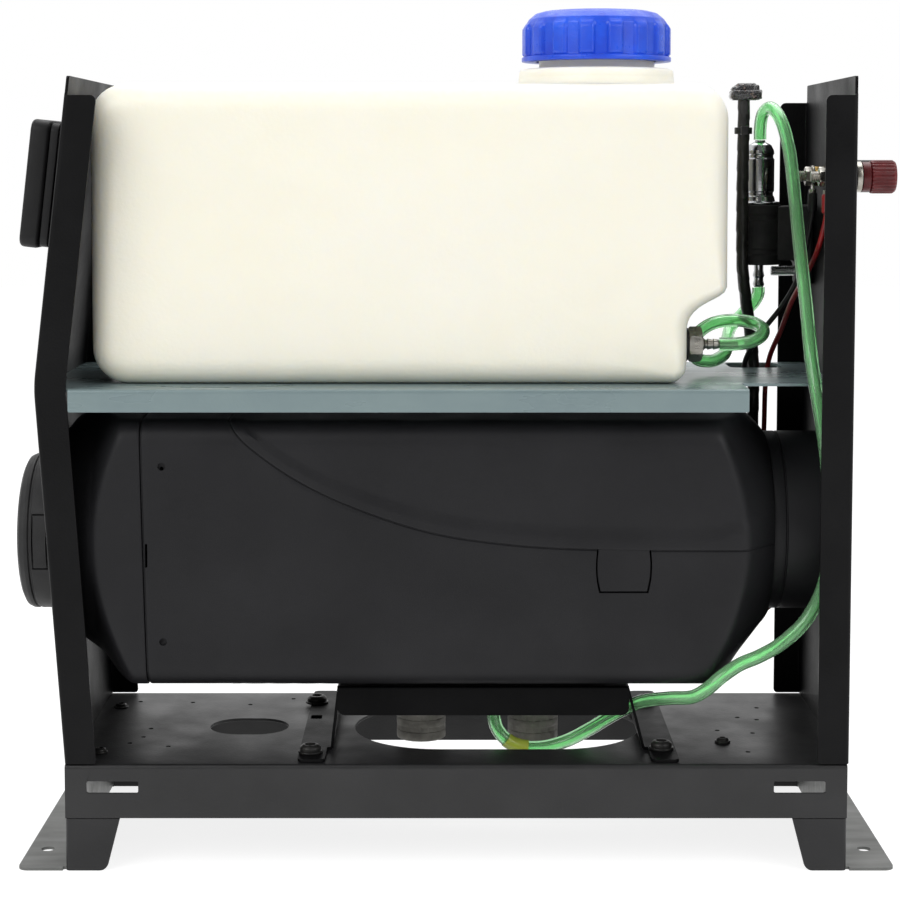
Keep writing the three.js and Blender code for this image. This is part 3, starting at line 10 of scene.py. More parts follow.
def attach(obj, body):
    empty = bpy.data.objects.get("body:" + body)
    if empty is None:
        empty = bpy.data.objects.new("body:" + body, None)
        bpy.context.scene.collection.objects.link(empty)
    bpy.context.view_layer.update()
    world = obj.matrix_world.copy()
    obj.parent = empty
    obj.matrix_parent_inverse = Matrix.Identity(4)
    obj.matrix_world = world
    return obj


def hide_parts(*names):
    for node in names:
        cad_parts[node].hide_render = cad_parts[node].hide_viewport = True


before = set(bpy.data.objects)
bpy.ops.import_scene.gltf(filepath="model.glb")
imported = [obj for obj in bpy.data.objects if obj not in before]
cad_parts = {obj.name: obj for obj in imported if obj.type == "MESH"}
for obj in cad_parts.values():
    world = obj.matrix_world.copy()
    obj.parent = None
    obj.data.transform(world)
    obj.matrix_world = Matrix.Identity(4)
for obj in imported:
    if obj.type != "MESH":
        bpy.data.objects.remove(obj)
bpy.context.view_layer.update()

# ---- Camera ---------------------------------------------------------------------------------------
# The view is square on to the front, from a little above the heater's middle. The lens is the one
# whose perspective gives the depth that the tray and the shelf show.
eye_place = (-0.00305, -1.1473, 0.3576)
eye_drop = 4.53  # degrees below level
eye_lens = 86.82  # mm on a 36 mm sensor
eye_shift = -0.13

eye_data = bpy.data.cameras.new("camera")
eye_data.lens = eye_lens
eye_data.shift_y = eye_shift
eye_data.clip_start = 0.05
eye = bpy.data.objects.new("camera", eye_data)
eye.location = eye_place
eye.rotation_euler = (math.radians(90 - eye_drop), 0, 0)
bpy.context.scene.collection.objects.link(eye)
bpy.context.scene.camera = eye

# ---- Studio ---------------------------------------------------------------------------------------
# A white paper floor and a white surround, lit by three soft boxes. The paper shows the heater's soft
# shadow, and is white everywhere else.
paper_half = 5.0
paper_white = 0.8
paper_glow = 0.84  # what the eye sees of the paper even in the shadow
paper_shade = 0.34  # how much of it the lamps add
surround_light = 0.5
surround_front = 0.14  # how bright the room behind the camera is in a reflection
box_lights = (
    # place, size, watts
    ((-1.15, -1.35, 1.35), 1.3, 19.0),
    ((1.25, -1.1, 1.1), 1.1, 11.0),
    ((0.1, 0.55, 1.7), 1.4, 15.0),
)
box_aim = (0.0, 0.0, 0.2)

bpy.context.scene.view_settings.view_transform = "Standard"


def node(tree, kind, inputs=(), **settings):
    """One more node in a node tree. Each input is given a value or joined to another node's output."""
    made = tree.nodes.new(kind)
    for key, value in settings.items():
        setattr(made, key, value)
    for socket, value in dict(inputs).items():
        if isinstance(value, bpy.types.NodeSocket):
            tree.links.new(value, made.inputs[socket])
        else:
            made.inputs[socket].default_value = value
    return made


def seen_by_eye(tree):
    """1 on rays from the camera, in reflections and through clear things, and 0 on light that lands on the heater."""
    ray = node(tree, "ShaderNodeLightPath")
    first = node(
        tree, "ShaderNodeMath", {0: ray.outputs["Is Camera Ray"], 1: ray.outputs["Is Glossy Ray"]},
        operation="MAXIMUM",
    )
    return node(
        tree, "ShaderNodeMath", {0: first.outputs[0], 1: ray.outputs["Is Transmission Ray"]}, operation="MAXIMUM",
    ).outputs[0]


surround = bpy.data.worlds.new("surround")
surround.use_nodes = True
bpy.context.scene.world = surround
air = surround.node_tree
air.nodes.clear()
heading = node(air, "ShaderNodeTexCoord").outputs["Generated"]
toward_back = node(air, "ShaderNodeSeparateXYZ", {0: heading}).outputs["Y"]
depth_ramp = node(
    air, "ShaderNodeMapRange", {0: toward_back, 1: -0.35, 2: 0.15, 3: surround_front, 4: 1.0},
    interpolation_type="SMOOTHSTEP",
)
is_camera = node(air, "ShaderNodeLightPath").outputs["Is Camera Ray"]
white_level = node(air, "ShaderNodeMath", {0: depth_ramp.outputs[0], 1: is_camera}, operation="MAXIMUM")
room = node(air, "ShaderNodeBackground", {"Color": (1, 1, 1, 1), "Strength": surround_light})
backdrop = node(air, "ShaderNodeBackground", {"Color": (1, 1, 1, 1), "Strength": white_level.outputs[0]})
either = node(air, "ShaderNodeMixShader", {0: seen_by_eye(air), 1: room.outputs[0], 2: backdrop.outputs[0]})
node(air, "ShaderNodeOutputWorld", {"Surface": either.outputs[0]})

for number, (lamp_place, lamp_size, lamp_watts) in enumerate(box_lights, 1):
    lamp_data = bpy.data.lights.new(f"soft_box_{number}", "AREA")
    lamp_data.size = lamp_size
    lamp_data.energy = lamp_watts
    lamp = bpy.data.objects.new(f"soft_box_{number}", lamp_data)
    lamp.location = lamp_place
    lamp.visible_camera = False
    aim = [to - at for to, at in zip(box_aim, lamp_place)]
    flat = math.hypot(aim[0], aim[1])
    lamp.rotation_euler = (math.atan2(flat, -aim[2]), 0, math.atan2(aim[1], aim[0]) - math.pi / 2)
    bpy.context.scene.collection.objects.link(lamp)

paper_mesh = bpy.data.meshes.new("paper_floor")
paper_mesh.from_pydata(
    [
        (-paper_half, -paper_half, 0), (paper_half, -paper_half, 0), (paper_half, paper_half, 0),
        (-paper_half, paper_half, 0),
    ],
    [], [(0, 1, 2, 3)],
)
paper_floor = bpy.data.objects.new("paper_floor", paper_mesh)
bpy.context.scene.collection.objects.link(paper_floor)
paper = bpy.data.materials.new("white_paper")
paper.use_nodes = True
paper_tree = paper.node_tree
paper_tree.nodes.clear()
matt = node(paper_tree, "ShaderNodeBsdfDiffuse", {"Color": (paper_white, paper_white, paper_white, 1)})
shade = node(paper_tree, "ShaderNodeBsdfDiffuse", {"Color": (paper_shade, paper_shade, paper_shade, 1)})
lift = node(paper_tree, "ShaderNodeEmission", {"Color": (1, 1, 1, 1), "Strength": paper_glow})
lit_paper = node(paper_tree, "ShaderNodeAddShader", {0: shade.outputs[0], 1: lift.outputs[0]})
paper_mix = node(
    paper_tree, "ShaderNodeMixShader", {0: seen_by_eye(paper_tree), 1: matt.outputs[0], 2: lit_paper.outputs[0]},
)
node(paper_tree, "ShaderNodeOutputMaterial", {"Surface": paper_mix.outputs[0]})
paper_mesh.materials.append(paper)

# ---- Fuel hoses -----------------------------------------------------------------------------------
# Clear green polyurethane tube, 7 mm outside and 4 mm bore. One goes from the tank's barb once round
# in a loop and up to the pump, the other from the pump's nozzle down and under the heater, where a
# short yellowish sleeve joins it.
hose_outside = 3.5
hose_bore = 2.0
hose_green = (196, 252, 200)
hose_deep_green = (140, 236, 156)
tank_hose_points = (
    (137.2, -20, 262.5), (144.2, -20, 262.5), (153, -19, 263.5), (160, -12, 266), (162.5, -1, 269), (158.5, 9, 271.5),
    (149, 14, 272.5), (138, 12.5, 271), (129, 6, 266), (125, 0, 259.5), (127.5, -2.5, 253.5), (135, 3, 251.5),
    (143, 15, 253), (147.5, 29, 256), (149.5, 43, 260), (153, 54, 266), (160, 58.5, 273), (165.5, 54.5, 279.5),
    (167.3, 50, 285), (167.3, 50, 288),
)
heater_hose_points = (
    (167.3, 50, 369.3), (167.3, 50, 375.3), (168, 46.5, 383), (171, 38, 386.5), (175, 27, 380), (178, 16, 364),
    (179, 5, 345), (179.5, -11, 317), (180, -33, 286), (180.5, -53, 254), (184, -60, 228), (187.5, -62, 200),
    (188.5, -62, 165), (186, -62, 143), (177, -62, 125), (165, -63.5, 114), (153, -66.8, 108), (143, -69.5, 104.5),
    (133.5, -71.4, 98.5), (127, -70.4, 92.5), (120, -65.5, 87), (109, -56.5, 84), (95, -43, 78.5), (83, -37, 71),
    (70, -32, 61.5),
    (57, -29, 54), (43, -28, 50.5), (30, -28, 52.5), (22, -28, 60), (19.7, -28, 69), (19.7, -28, 77.7),
)


def colour(red, green, blue):
    """A screen colour, 0 to 255, as the linear light that a shader takes: each channel to about the power 2.2."""
    share = np.array([red, green, blue]) / 255
    light = np.where(share <= 0.04045, share / 12.92, ((share + 0.055) / 1.055) ** 2.4)
    return (*light.tolist(), 1.0)


def finish(name, **sockets):
    """A new material whose shader has these settings, named as the shader's sockets with _ for a space."""
    made = bpy.data.materials.new(name)
    made.use_nodes = True
    shader = made.node_tree.nodes["Principled BSDF"]
    for socket, value in sockets.items():
        shader.inputs[socket.replace("_", " ")].default_value = value
    return made


def mottle(material, per_metre, low, high, detail=3.0, stretch=(1, 1, 1)):
    """Soft noise in the piece's own place, that many patches to a metre, spread evenly from low to high."""
    tree = material.node_tree
    at = node(tree, "ShaderNodeTexCoord").outputs["Object"]
    sized = node(tree, "ShaderNodeMapping", {"Vector": at, "Scale": stretch}).outputs[0]
    noise = node(
        tree, "ShaderNodeTexNoise", {"Vector": sized, "Scale": per_metre, "Detail": detail, "Roughness": 0.55},
    )
    return node(tree, "ShaderNodeMapRange", {0: noise.outputs[0], 1: 0.32, 2: 0.68, 3: low, 4: high}).outputs[0]


def two_tones(material, share, first, second):
    """The first colour where share is 0 and the second where it is 1, on the shader's base colour."""
    tree = material.node_tree
    mixed = node(tree, "ShaderNodeMix", {0: share, 6: first, 7: second}, data_type="RGBA")
    tree.links.new(mixed.outputs[2], tree.nodes["Principled BSDF"].inputs["Base Color"])
    return mixed.outputs[2]


def gloss_from(material, share):
    material.node_tree.links.new(share, material.node_tree.nodes["Principled BSDF"].inputs["Roughness"])


def relief(material, height, depth, under=None):
    """Raises the surface by height times depth in metres, on top of an earlier relief."""
    tree = material.node_tree
    inputs = {"Height": height, "Distance": depth, "Strength": 1.0}
    if under is not None:
        inputs["Normal"] = under
    made = node(tree, "ShaderNodeBump", inputs).outputs[0]
    tree.links.new(made, tree.nodes["Principled BSDF"].inputs["Normal"])
    return made


def coated(name, first, second, patches, gloss=None, grain=None, **sockets):
    """A material of two mixed tones. patches and gloss are what mottle takes for their shares and for the roughness, and
    grain is a relief's patches to a metre and depth in metres, then detail and stretch where they aren't mottle's own."""
    made = finish(name, **sockets)
    two_tones(made, mottle(made, *patches), colour(*first), colour(*second))
    if gloss:
        gloss_from(made, mottle(made, *gloss))
    if grain:
        relief(made, mottle(made, grain[0], 0, 1, *grain[2:]), grain[1])
    return made


def route(points, count):
    """A smooth line through points: centripetal Catmull-Rom, so each stretch takes the square root of its length in the
    knot values, sampled at even steps of length."""
    p = np.array(points, float)
    p = np.vstack([2 * p[0] - p[1], p, 2 * p[-1] - p[-2]])
    knot = np.concatenate([[0], np.cumsum(np.linalg.norm(np.diff(p, axis=0), axis=1) ** 0.5)])
    fine = []
    for i in range(1, len(p) - 2):
        t = np.linspace(knot[i], knot[i + 1], 24, endpoint=False)[:, None]
        a = [
            ((knot[k + 1] - t) * p[k] + (t - knot[k]) * p[k + 1]) / (knot[k + 1] - knot[k])
            for k in (i - 1, i, i + 1)
        ]
        b = [
            ((knot[k + 2] - t) * a[m] + (t - knot[k]) * a[m + 1]) / (knot[k + 2] - knot[k])
            for m, k in ((0, i - 1), (1, i))
        ]
        fine.append(((knot[i + 1] - t) * b[0] + (t - knot[i]) * b[1]) / (knot[i + 1] - knot[i]))
    fine = np.vstack([*fine, p[-2][None]])
    far = np.concatenate([[0], np.cumsum(np.linalg.norm(np.diff(fine, axis=0), axis=1))])
    even = np.linspace(0, far[-1], count)
    return np.stack([np.interp(even, far, fine[:, k]) for k in range(3)], 1)


def along(line, radius, sides):
    """Rings of points round a line. Each ring's frame is the one before, turned by the least that keeps it square to the
    line; radius is a number, or a function of length (mm) and angle."""
    tangent = np.gradient(line, axis=0)
    tangent /= np.linalg.norm(tangent, axis=1)[:, None]
    start = np.cross(tangent[0], (0.3, 0.9, 0.2))
    normal = [start / np.linalg.norm(start)]
    for t in tangent[1:]:
        carried = normal[-1] - t * np.dot(normal[-1], t)
        normal.append(carried / np.linalg.norm(carried))
    normal = np.array(normal)
    side = np.cross(tangent, normal)
    turn = np.linspace(0, 2 * np.pi, sides, endpoint=False)[None, :]
    far = np.concatenate([[0], np.cumsum(np.linalg.norm(np.diff(line, axis=0), axis=1))])[:, None]
    r = radius(far, turn) if callable(radius) else np.full((len(line), sides), float(radius))
    ring = np.cos(turn)[..., None] * normal[:, None] + np.sin(turn)[..., None] * side[:, None]
    return line[:, None] + r[..., None] * ring


def skin(grid, around=True, length_closed=False, ends=True):
    """Faces over a grid of points (stations, places round a station): each cell between four neighbours is one face.
    Open ends are closed with one flat face each."""
    stations, places = grid.shape[:2]
    i, j = np.meshgrid(
        np.arange(stations if length_closed else stations - 1), np.arange(places if around else places - 1),
        indexing="ij",
    )
    i2, j2 = (i + 1) % stations, (j + 1) % places
    quads = np.stack([i * places + j, i * places + j2, i2 * places + j2, i2 * places + j], -1)
    faces = quads.reshape(-1, 4).tolist()
    if around and ends and not length_closed:
        faces += [list(range(places))[::-1], list(range((stations - 1) * places, stations * places))]
    return grid.reshape(-1, 3), faces


def solid_mesh(name, parts):
    """Closed surfaces (points in mm, faces) as one mesh in metres. Each is turned outwards, which is where its signed
    volume is positive."""
    whole = bmesh.new()
    for points, faces in parts:
        mesh = bpy.data.meshes.new(name)
        mesh.from_pydata((np.asarray(points, float) * 0.001).tolist(), [], faces)
        part = bmesh.new()
        part.from_mesh(mesh)
        bmesh.ops.remove_doubles(part, verts=part.verts, dist=2e-6)
        bmesh.ops.dissolve_degenerate(part, edges=part.edges, dist=1e-7)
        bmesh.ops.delete(part, geom=[e for e in part.edges if not e.link_faces], context="EDGES")
        if part.calc_volume(signed=True) < 0:
            bmesh.ops.reverse_faces(part, faces=part.faces)
        part.to_mesh(mesh)
        part.free()
        whole.from_mesh(mesh)
        bpy.data.meshes.remove(mesh)
    mesh = bpy.data.meshes.new(name)
    whole.to_mesh(mesh)
    whole.free()
    return mesh


def piece(name, parts, material, replaces=(), body="heater_frame", turn=32, edge=0.0):
    """Closed surfaces as one piece that rides on a body; turn is the sharpest angle in degrees that is shaded smooth, and
    edge the size in mm of the small round on its sharp edges."""
    mesh = solid_mesh(name, parts)
    mesh.shade_smooth()
    mesh.set_sharp_from_angle(angle=math.radians(turn))
    mesh.materials.append(material)
    thing = bpy.data.objects.new(name, mesh)
    bpy.context.scene.collection.objects.link(thing)
    if edge:
        rounding = thing.modifiers.new("edge", "BEVEL")
        rounding.width = edge * 0.001
        rounding.segments = 2
        rounding.limit_method = "ANGLE"
        rounding.angle_limit = math.radians(40)
        rounding.harden_normals = True
    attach(thing, body)
    if replaces:
        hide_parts(*replaces)
    return thing


def tube(line, outside, bore, sides):
    """A tube with a bore: rings on the outside one way along the line and on the inside the other way back."""
    out, inner = along(line, outside, sides), along(line, bore, sides)
    return skin(np.concatenate([out, inner[::-1]]), length_closed=True)


hose_plastic = coated(
    "clear_green_hose", hose_green, hose_deep_green, (90, 0.0, 0.35), grain=(500, 0.00003, 2.0), Roughness=0.12,
    IOR=1.3,
    Transmission_Weight=0.82, Specular_IOR_Level=0.6, Coat_Weight=0.5, Coat_Roughness=0.06,
)
sleeve_stretch = (25.5, 38.5)  # from x to x on the hose's lowest bend
sleeve_below = 60.0
sleeve_outside, sleeve_bore = 3.95, 3.6
sleeve_plastic = coated(
    "clear_yellow_sleeve", (226, 236, 110), (202, 218, 84), (90, 0.2, 0.7), grain=(500, 0.00003, 2.0),
    Roughness=0.2, IOR=1.35, Transmission_Weight=0.45, Specular_IOR_Level=0.6, Coat_Weight=0.4,
)
for hose_name, hose_points, hose_steps in (
    ("fuel_hose_tank", tank_hose_points, 170), ("fuel_hose_heater", heater_hose_points, 300),
):
    hose_line = route(hose_points, hose_steps)
    hose = piece(f"{hose_name}_tube", [tube(hose_line, hose_outside, hose_bore, 24)], hose_plastic, [hose_name])
    low_x, high_x = sleeve_stretch
    covered = (hose_line[:, 0] > low_x) & (hose_line[:, 0] < high_x) & (hose_line[:, 2] < sleeve_below)
    if covered.any():
        sleeve_tube = tube(hose_line[covered], sleeve_outside, sleeve_bore, 24)
        piece("hose_sleeve", [sleeve_tube], sleeve_plastic)

# ---- Wiring harness and supply leads --------------------------------------------------------------
# The cable bundle is wound with glossy black tape, each turn lapping the one before. The two supply
# leads are PVC-covered wire, red and black, from the posts' ring terminals to the heater's gland.
harness_radius = 3.3
tape_pitch = 11.0  # mm from lap to lap
tape_lap = 0.28  # height of a lap's edge
lead_radius = 1.4
tape_black = (30, 30, 29)
lead_red = (150, 22, 26)
harness_points = (
    (156.3, 37, 390.5), (156.3, 37, 370), (156.3, 37, 335), (156.3, 37, 312), (157, 38.5, 298), (159.3, 42.5, 284),
    (162.5, 48.5, 267), (165.2, 54, 249), (165.7, 55.5, 236), (166, 58, 215), (166, 60.5, 190), (167, 60, 165),
    (171, 56, 142), (173.5, 51, 124), (172, 47.5, 110), (165, 44.5, 102), (158, 43.5, 100), (152.3, 43.5, 100),
)
red_lead_points = (
    (191.9, -22, 335.4), (191.9, -22, 330), (189, -15, 312), (185, 3, 296), (181, 22, 281), (178.5, 38, 266),
    (174, 51, 249), (172.6, 54.5, 236), (172.4, 57, 215), (172.6, 59.5, 190), (174, 58, 165), (178, 54, 142),
    (179.5, 48.5, 122), (175, 43.5, 111.5), (165, 40, 107.5), (158, 39.2, 107), (152.3, 39.3, 107),
)
black_lead_points = (
    (191.9, 22, 335.4), (191.9, 22, 330), (189.5, 25, 312), (186, 31, 294), (178.5, 35.5, 279), (168, 40, 264),
    (160.5, 44.5, 250), (158.8, 47, 240), (158.6, 51, 220), (158.8, 56, 195), (160.3, 59.3, 170), (164, 58, 147),
    (167, 54, 128), (165, 51, 115), (160, 48, 108.5), (156, 46.5, 107), (152.3, 46.5, 107),
)


def taped(far, turn):
    """The bundle's radius: a lap that climbs once per pitch of the winding, and slow lumps of the wires inside."""
    lap = (far / tape_pitch + turn / (2 * np.pi)) % 1.0
    edge = np.minimum(lap / 0.86, (1 - lap) / 0.14)
    lumps = 0.14 * np.sin(far / 13 + 2 * np.cos(turn)) + 0.1 * np.cos(3 * turn + far / 31)
    return harness_radius + tape_lap * (edge - 0.5) + lumps


tape = coated(
    "black_tape", tape_black, (46, 46, 43), (160, 0, 1), (70, 0.24, 0.46), (260, 0.00018, 4.0),
    Roughness=0.32, Specular_IOR_Level=0.5,
)
red_pvc = coated(
    "red_lead_cover", lead_red, (118, 16, 20), (140, 0, 1), grain=(900, 0.00003, 2.0), Roughness=0.34,
    Specular_IOR_Level=0.5,
)
black_pvc = coated(
    "black_lead_cover", (34, 34, 35), (24, 24, 25), (140, 0, 1), grain=(900, 0.00003, 2.0), Roughness=0.42,
    Specular_IOR_Level=0.4,
)

for cord_name, cord_points, cord_steps, cord_radius, cord_size, cord_sides, cord_cover in (
    ("wiring_harness", harness_points, 420, taped, 2 * harness_radius, 28, tape),
    ("red_lead", red_lead_points, 160, lead_radius, 2 * lead_radius, 14, red_pvc),
    ("black_lead", black_lead_points, 160, lead_radius, 2 * lead_radius, 14, black_pvc),
):
    cord_line = route(cord_points, cord_steps)
    cord = piece(f"{cord_name}_cable", [skin(along(cord_line, cord_radius, cord_sides))], cord_cover, [cord_name])

# ---- Base tray ------------------------------------------------------------------------------------
# One sheet of 1.5 mm steel, punched with two oval holes and four slots, with its front and back edges
# folded down as aprons and powder-coated satin black.
sheet = 1.5
bend = 2.1  # outer radius of a fold
tray_half_length = 197.25
tray_half_depth = 75.0
tray_top = 54.5
tray_foot = 27.0
tray_oval = (21.9, 152.0, 91.0)
tray_small_oval = (-110.8, 42.0, 33.0)
apron_slot = (173.25, 43.0, 26.0, 6.0)
steel_black = (9, 9, 10)
tray_black = (24, 24, 25)
# The bridge's black is deeper than the other sheets': painted shade, standing for the shadow under the heater.
bridge_painted_shade_black = (6, 6, 7)
pin_holes = (
    (-147.4, 51.6), (-114.7, 46.8), (-91.5, 59.9), (-163.2, -4.8), (-164.9, -21.8), (-149.4, -40.1), (-170.4, -33.8),
    (-177.1, 53.5), (167.5, 39.5), (163.9, 13.7), (157.8, -13.9), (150.3, -50.8), (154.0, 18.7), (139.7, -8.6),
)
pin_hole = 1.3


def arc(before, here, after, radius, steps):
    """The round of a corner: points on the circle that touches both sides, no larger than the sides have room for."""
    a, b = before - here, after - here
    room = 0.48 * min(np.linalg.norm(a), np.linalg.norm(b))
    a, b = a / np.linalg.norm(a), b / np.linalg.norm(b)
    half = math.acos(float(np.clip(a @ b, -1, 1))) / 2
    radius = min(radius, room * math.tan(half))
    if radius < 0.01 or half > 1.55:
        return here[None]
    centre = here + (a + b) / np.linalg.norm(a + b) * radius / math.sin(half)
    start, end = here + a * radius / math.tan(half) - centre, here + b * radius / math.tan(half) - centre
    swing = math.pi - 2 * half
    share = np.linspace(0, 1, steps + 1)[:, None]
    return centre + (np.sin((1 - share) * swing) * start + np.sin(share * swing) * end) / math.sin(swing)


def round_corners(outline, radii, steps=5):
    """A closed outline whose corners are drawn as arcs, each with its own radius."""
    p = np.array(outline, float)
    sides = zip(np.roll(p, 1, 0), p, np.roll(p, -1, 0), np.broadcast_to(radii, len(p)))
    return np.vstack([arc(before, here, after, radius, steps) for before, here, after, radius in sides])


def fold_line(corners, radii, middle, steps=6):
    """The section of a bent sheet's outer face, with its inner corners rounded. It comes back as lengths counted from the
    place nearest to middle, the points, and the normals to the right of the way it runs."""
    p = np.array(corners, float)
    inner = zip(p[:-2], p[1:-1], p[2:], np.broadcast_to(radii, len(p) - 2))
    points = np.vstack(
        [p[:1], *[arc(before, here, after, radius, steps) for before, here, after, radius in inner], p[-1:]]
    )
    far = np.concatenate([[0], np.cumsum(np.linalg.norm(np.diff(points, axis=0), axis=1))])
    way = np.gradient(points, far, axis=0)
    way[0], way[-1] = points[1] - points[0], points[-1] - points[-2]
    way /= np.linalg.norm(way, axis=1)[:, None]
    return far - length_at((far, points), middle), points, np.stack([way[:, 1], -way[:, 0]], 1)


def length_at(line, place):
    """How far along a section line the point nearest to a place is."""
    far, points = line[0], line[1]
    a, b = points[:-1], points[1:]
    share = np.clip(((np.array(place) - a) * (b - a)).sum(1) / ((b - a) ** 2).sum(1), 0, 1)
    gap = np.linalg.norm(a + share[:, None] * (b - a) - place, axis=1)
    best = int(gap.argmin())
    return float(far[best] + share[best] * (far[best + 1] - far[best]))


def bent(line, far, depth):
    """Places on the section line at lengths far, moved inwards by depth, as two columns."""
    rows, points, inward = line
    at = np.stack([np.interp(far, rows, points[:, k]) for k in range(2)], 1)
    into = np.stack([np.interp(far, rows, inward[:, k]) for k in range(2)], 1)
    return at + depth * into / np.linalg.norm(into, axis=1)[:, None]


def oval(u, v, length, width, steps=20):
    """A long hole with round ends: two half circles whose centres stand apart by the difference of its sizes."""
    radius = min(length, width) / 2
    turn = np.linspace(-np.pi / 2, np.pi / 2, steps)
    cap = np.stack([np.cos(turn), np.sin(turn)], 1) * radius
    if length >= width:
        right = cap + (length / 2 - radius, 0)
        return np.vstack([right, -right]) + (u, v)
    top = np.stack([-cap[:, 1], cap[:, 0]], 1) + (0, width / 2 - radius)
    return np.vstack([top, -top]) + (u, v)


def rectangle(u_low, v_low, u_high, v_high):
    """The four corners of a rectangle, in order round it."""
    return [(u_low, v_low), (u_high, v_low), (u_high, v_high), (u_low, v_high)]


def pressed_sheet(outline, holes, cuts, place, thickness=sheet):
    """A flat blank: triangles between all its loops, kept where a line to the right of the middle crosses the loops an odd
    number of times. It is cut into strips at each (axis, length) of cuts, and carried by place(u, v, depth) onto its outer
    face, where depth is 0, and its inner face. Its rim joins the two."""
    loops = [np.asarray(loop, float) for loop in (outline, *holes)]
    stops = np.cumsum([0, *[len(loop) for loop in loops]]).tolist()
    rims = [(k, k + 1 if k + 1 < end else start) for start, end in zip(stops, stops[1:]) for k in range(start, end)]
    spots, _, triangles, *_ = delaunay_2d_cdt([Vector(p) for p in np.vstack(loops)], rims, [], 0, 1e-4)
    spots, triangles = np.array(spots), np.array(triangles)
    x, y = spots[triangles].mean(1).T[:, :, None]
    a, b = np.vstack(loops), np.vstack([np.roll(loop, -1, 0) for loop in loops])
    level = np.where(a[:, 1] == b[:, 1], 1, b[:, 1] - a[:, 1])
    crossed = ((a[:, 1] > y) != (b[:, 1] > y)) & (x < (b[:, 0] - a[:, 0]) * (y - a[:, 1]) / level + a[:, 0])
    blank = bmesh.new()
    corners = [blank.verts.new((*spot, 0)) for spot in spots]
    for triangle in triangles[crossed.sum(1) % 2 == 1]:
        blank.faces.new([corners[k] for k in triangle])
    for axis, at in cuts:
        spot, way = [0, 0, 0], [0, 0, 0]
        spot[axis], way[axis] = at, 1
        everything = blank.verts[:] + blank.edges[:] + blank.faces[:]
        bmesh.ops.bisect_plane(blank, geom=everything, dist=1e-4, plane_co=spot, plane_no=way)
    blank.verts.index_update()
    flat = np.array([v.co[:2] for v in blank.verts])
    count = len(flat)
    tops = [[v.index for v in f.verts] for f in blank.faces]
    faces = tops + [[i + count for i in reversed(f)] for f in tops]
    for edge in blank.edges:
        if len(edge.link_loops) == 1:
            loop = edge.link_loops[0]
            a, b = loop.vert.index, loop.link_loop_next.vert.index
            faces.append([b, a, a + count, b + count])
    blank.free()
    u, v = flat[:, 0], flat[:, 1]
    return np.vstack([place(u, v, 0.0), place(u, v, thickness)]), faces


def fold_cuts(line, axis, room=0.5):
    """Where a blank is cut so that its folds are round: at each point of the section line, and just beside the folds."""
    inner = line[0][1:-1]
    return [(axis, x) for x in (*inner, *(inner[[0]] - room), *(inner[[-1]] + room))]


def powder_black(name, tone, fleck, shine=0.3):
    """Satin powder coat: orange-peel relief of about a millimetre, slow changes of gloss, and pale dust on upward faces."""
    made = finish(name, Specular_IOR_Level=shine)
    tree = made.node_tree
    up = node(tree, "ShaderNodeSeparateXYZ", {0: node(tree, "ShaderNodeNewGeometry").outputs["Normal"]}).outputs["Z"]
    flat_up = node(tree, "ShaderNodeMapRange", {0: up, 1: 0.9, 2: 0.99, 3: 0.0, 4: 1.0}).outputs[0]
    at = node(tree, "ShaderNodeTexCoord").outputs["Object"]
    grains = node(tree, "ShaderNodeTexVoronoi", {"Vector": at, "Scale": 230.0})
    small = node(
        tree, "ShaderNodeMapRange", {0: grains.outputs["Distance"], 1: 0.13, 2: 0.2, 3: 1.0, 4: 0.0},
    ).outputs[0]
    few = node(
        tree, "ShaderNodeMath", {0: small, 1: mottle(made, 45, -0.9, 0.75)}, operation="MULTIPLY", use_clamp=True,
    )
    dust = node(tree, "ShaderNodeMath", {0: few.outputs[0], 1: flat_up}, operation="MULTIPLY").outputs[0]
    coat = node(
        tree, "ShaderNodeMix", {0: mottle(made, 25, 0, 1), 6: colour(*tone), 7: colour(*[c + 7 for c in tone])},
        data_type="RGBA",
    )
    dusty = node(tree, "ShaderNodeMix", {0: dust, 6: coat.outputs[2], 7: colour(*fleck)}, data_type="RGBA")
    tree.links.new(dusty.outputs[2], tree.nodes["Principled BSDF"].inputs["Base Color"])
    gloss_from(made, mottle(made, 35, 0.36, 0.5, 4.0))
    relief(made, mottle(made, 800, 0, 1, 2.0), 0.00004)
    return made


black_steel = powder_black("satin_black_steel", steel_black, (60, 60, 58), 0.14)
tray_steel = powder_black("satin_tray_steel", tray_black, (20, 20, 20), 0.5)
# The bridge's coat is darker and less shiny than the other sheets': painted shade for the shadow under the heater.
bridge_steel_painted_shade = powder_black("satin_bridge_steel", bridge_painted_shade_black, (30, 30, 30), 0.08)
tray_line = fold_line(
    [
        (-tray_half_depth, tray_foot), (-tray_half_depth, tray_top), (tray_half_depth, tray_top),
        (tray_half_depth, tray_foot),
    ],
    bend, (0, tray_top),
)
apron_edge = tray_line[0][-1]
slot_across = length_at(tray_line, (tray_half_depth, apron_slot[1]))
tray_holes = [
    oval(tray_oval[0], 0, *tray_oval[1:], steps=28), oval(tray_small_oval[0], 0, *tray_small_oval[1:]),
    *[oval(x, y, 2 * pin_hole, 2 * pin_hole, 5) for x, y in pin_holes],
]
slot_half = apron_slot[2] / 2
for x in (-apron_slot[0], apron_slot[0]):
    for v in (-slot_across, slot_across):
        low, high = v - apron_slot[3] / 2, v + apron_slot[3] / 2
        tray_holes.append(round_corners(rectangle(x - slot_half, low, x + slot_half, high), 1))


def on_tray(x, v, depth):
    return np.column_stack([x, bent(tray_line, v, depth)])


piece(
    "base_tray_sheet",
    [pressed_sheet(
        rectangle(-tray_half_length, -apron_edge, tray_half_length, apron_edge),
        tray_holes, fold_cuts(tray_line, 1), on_tray,
    )],
    tray_steel, ["base_tray"], edge=0.22,
)

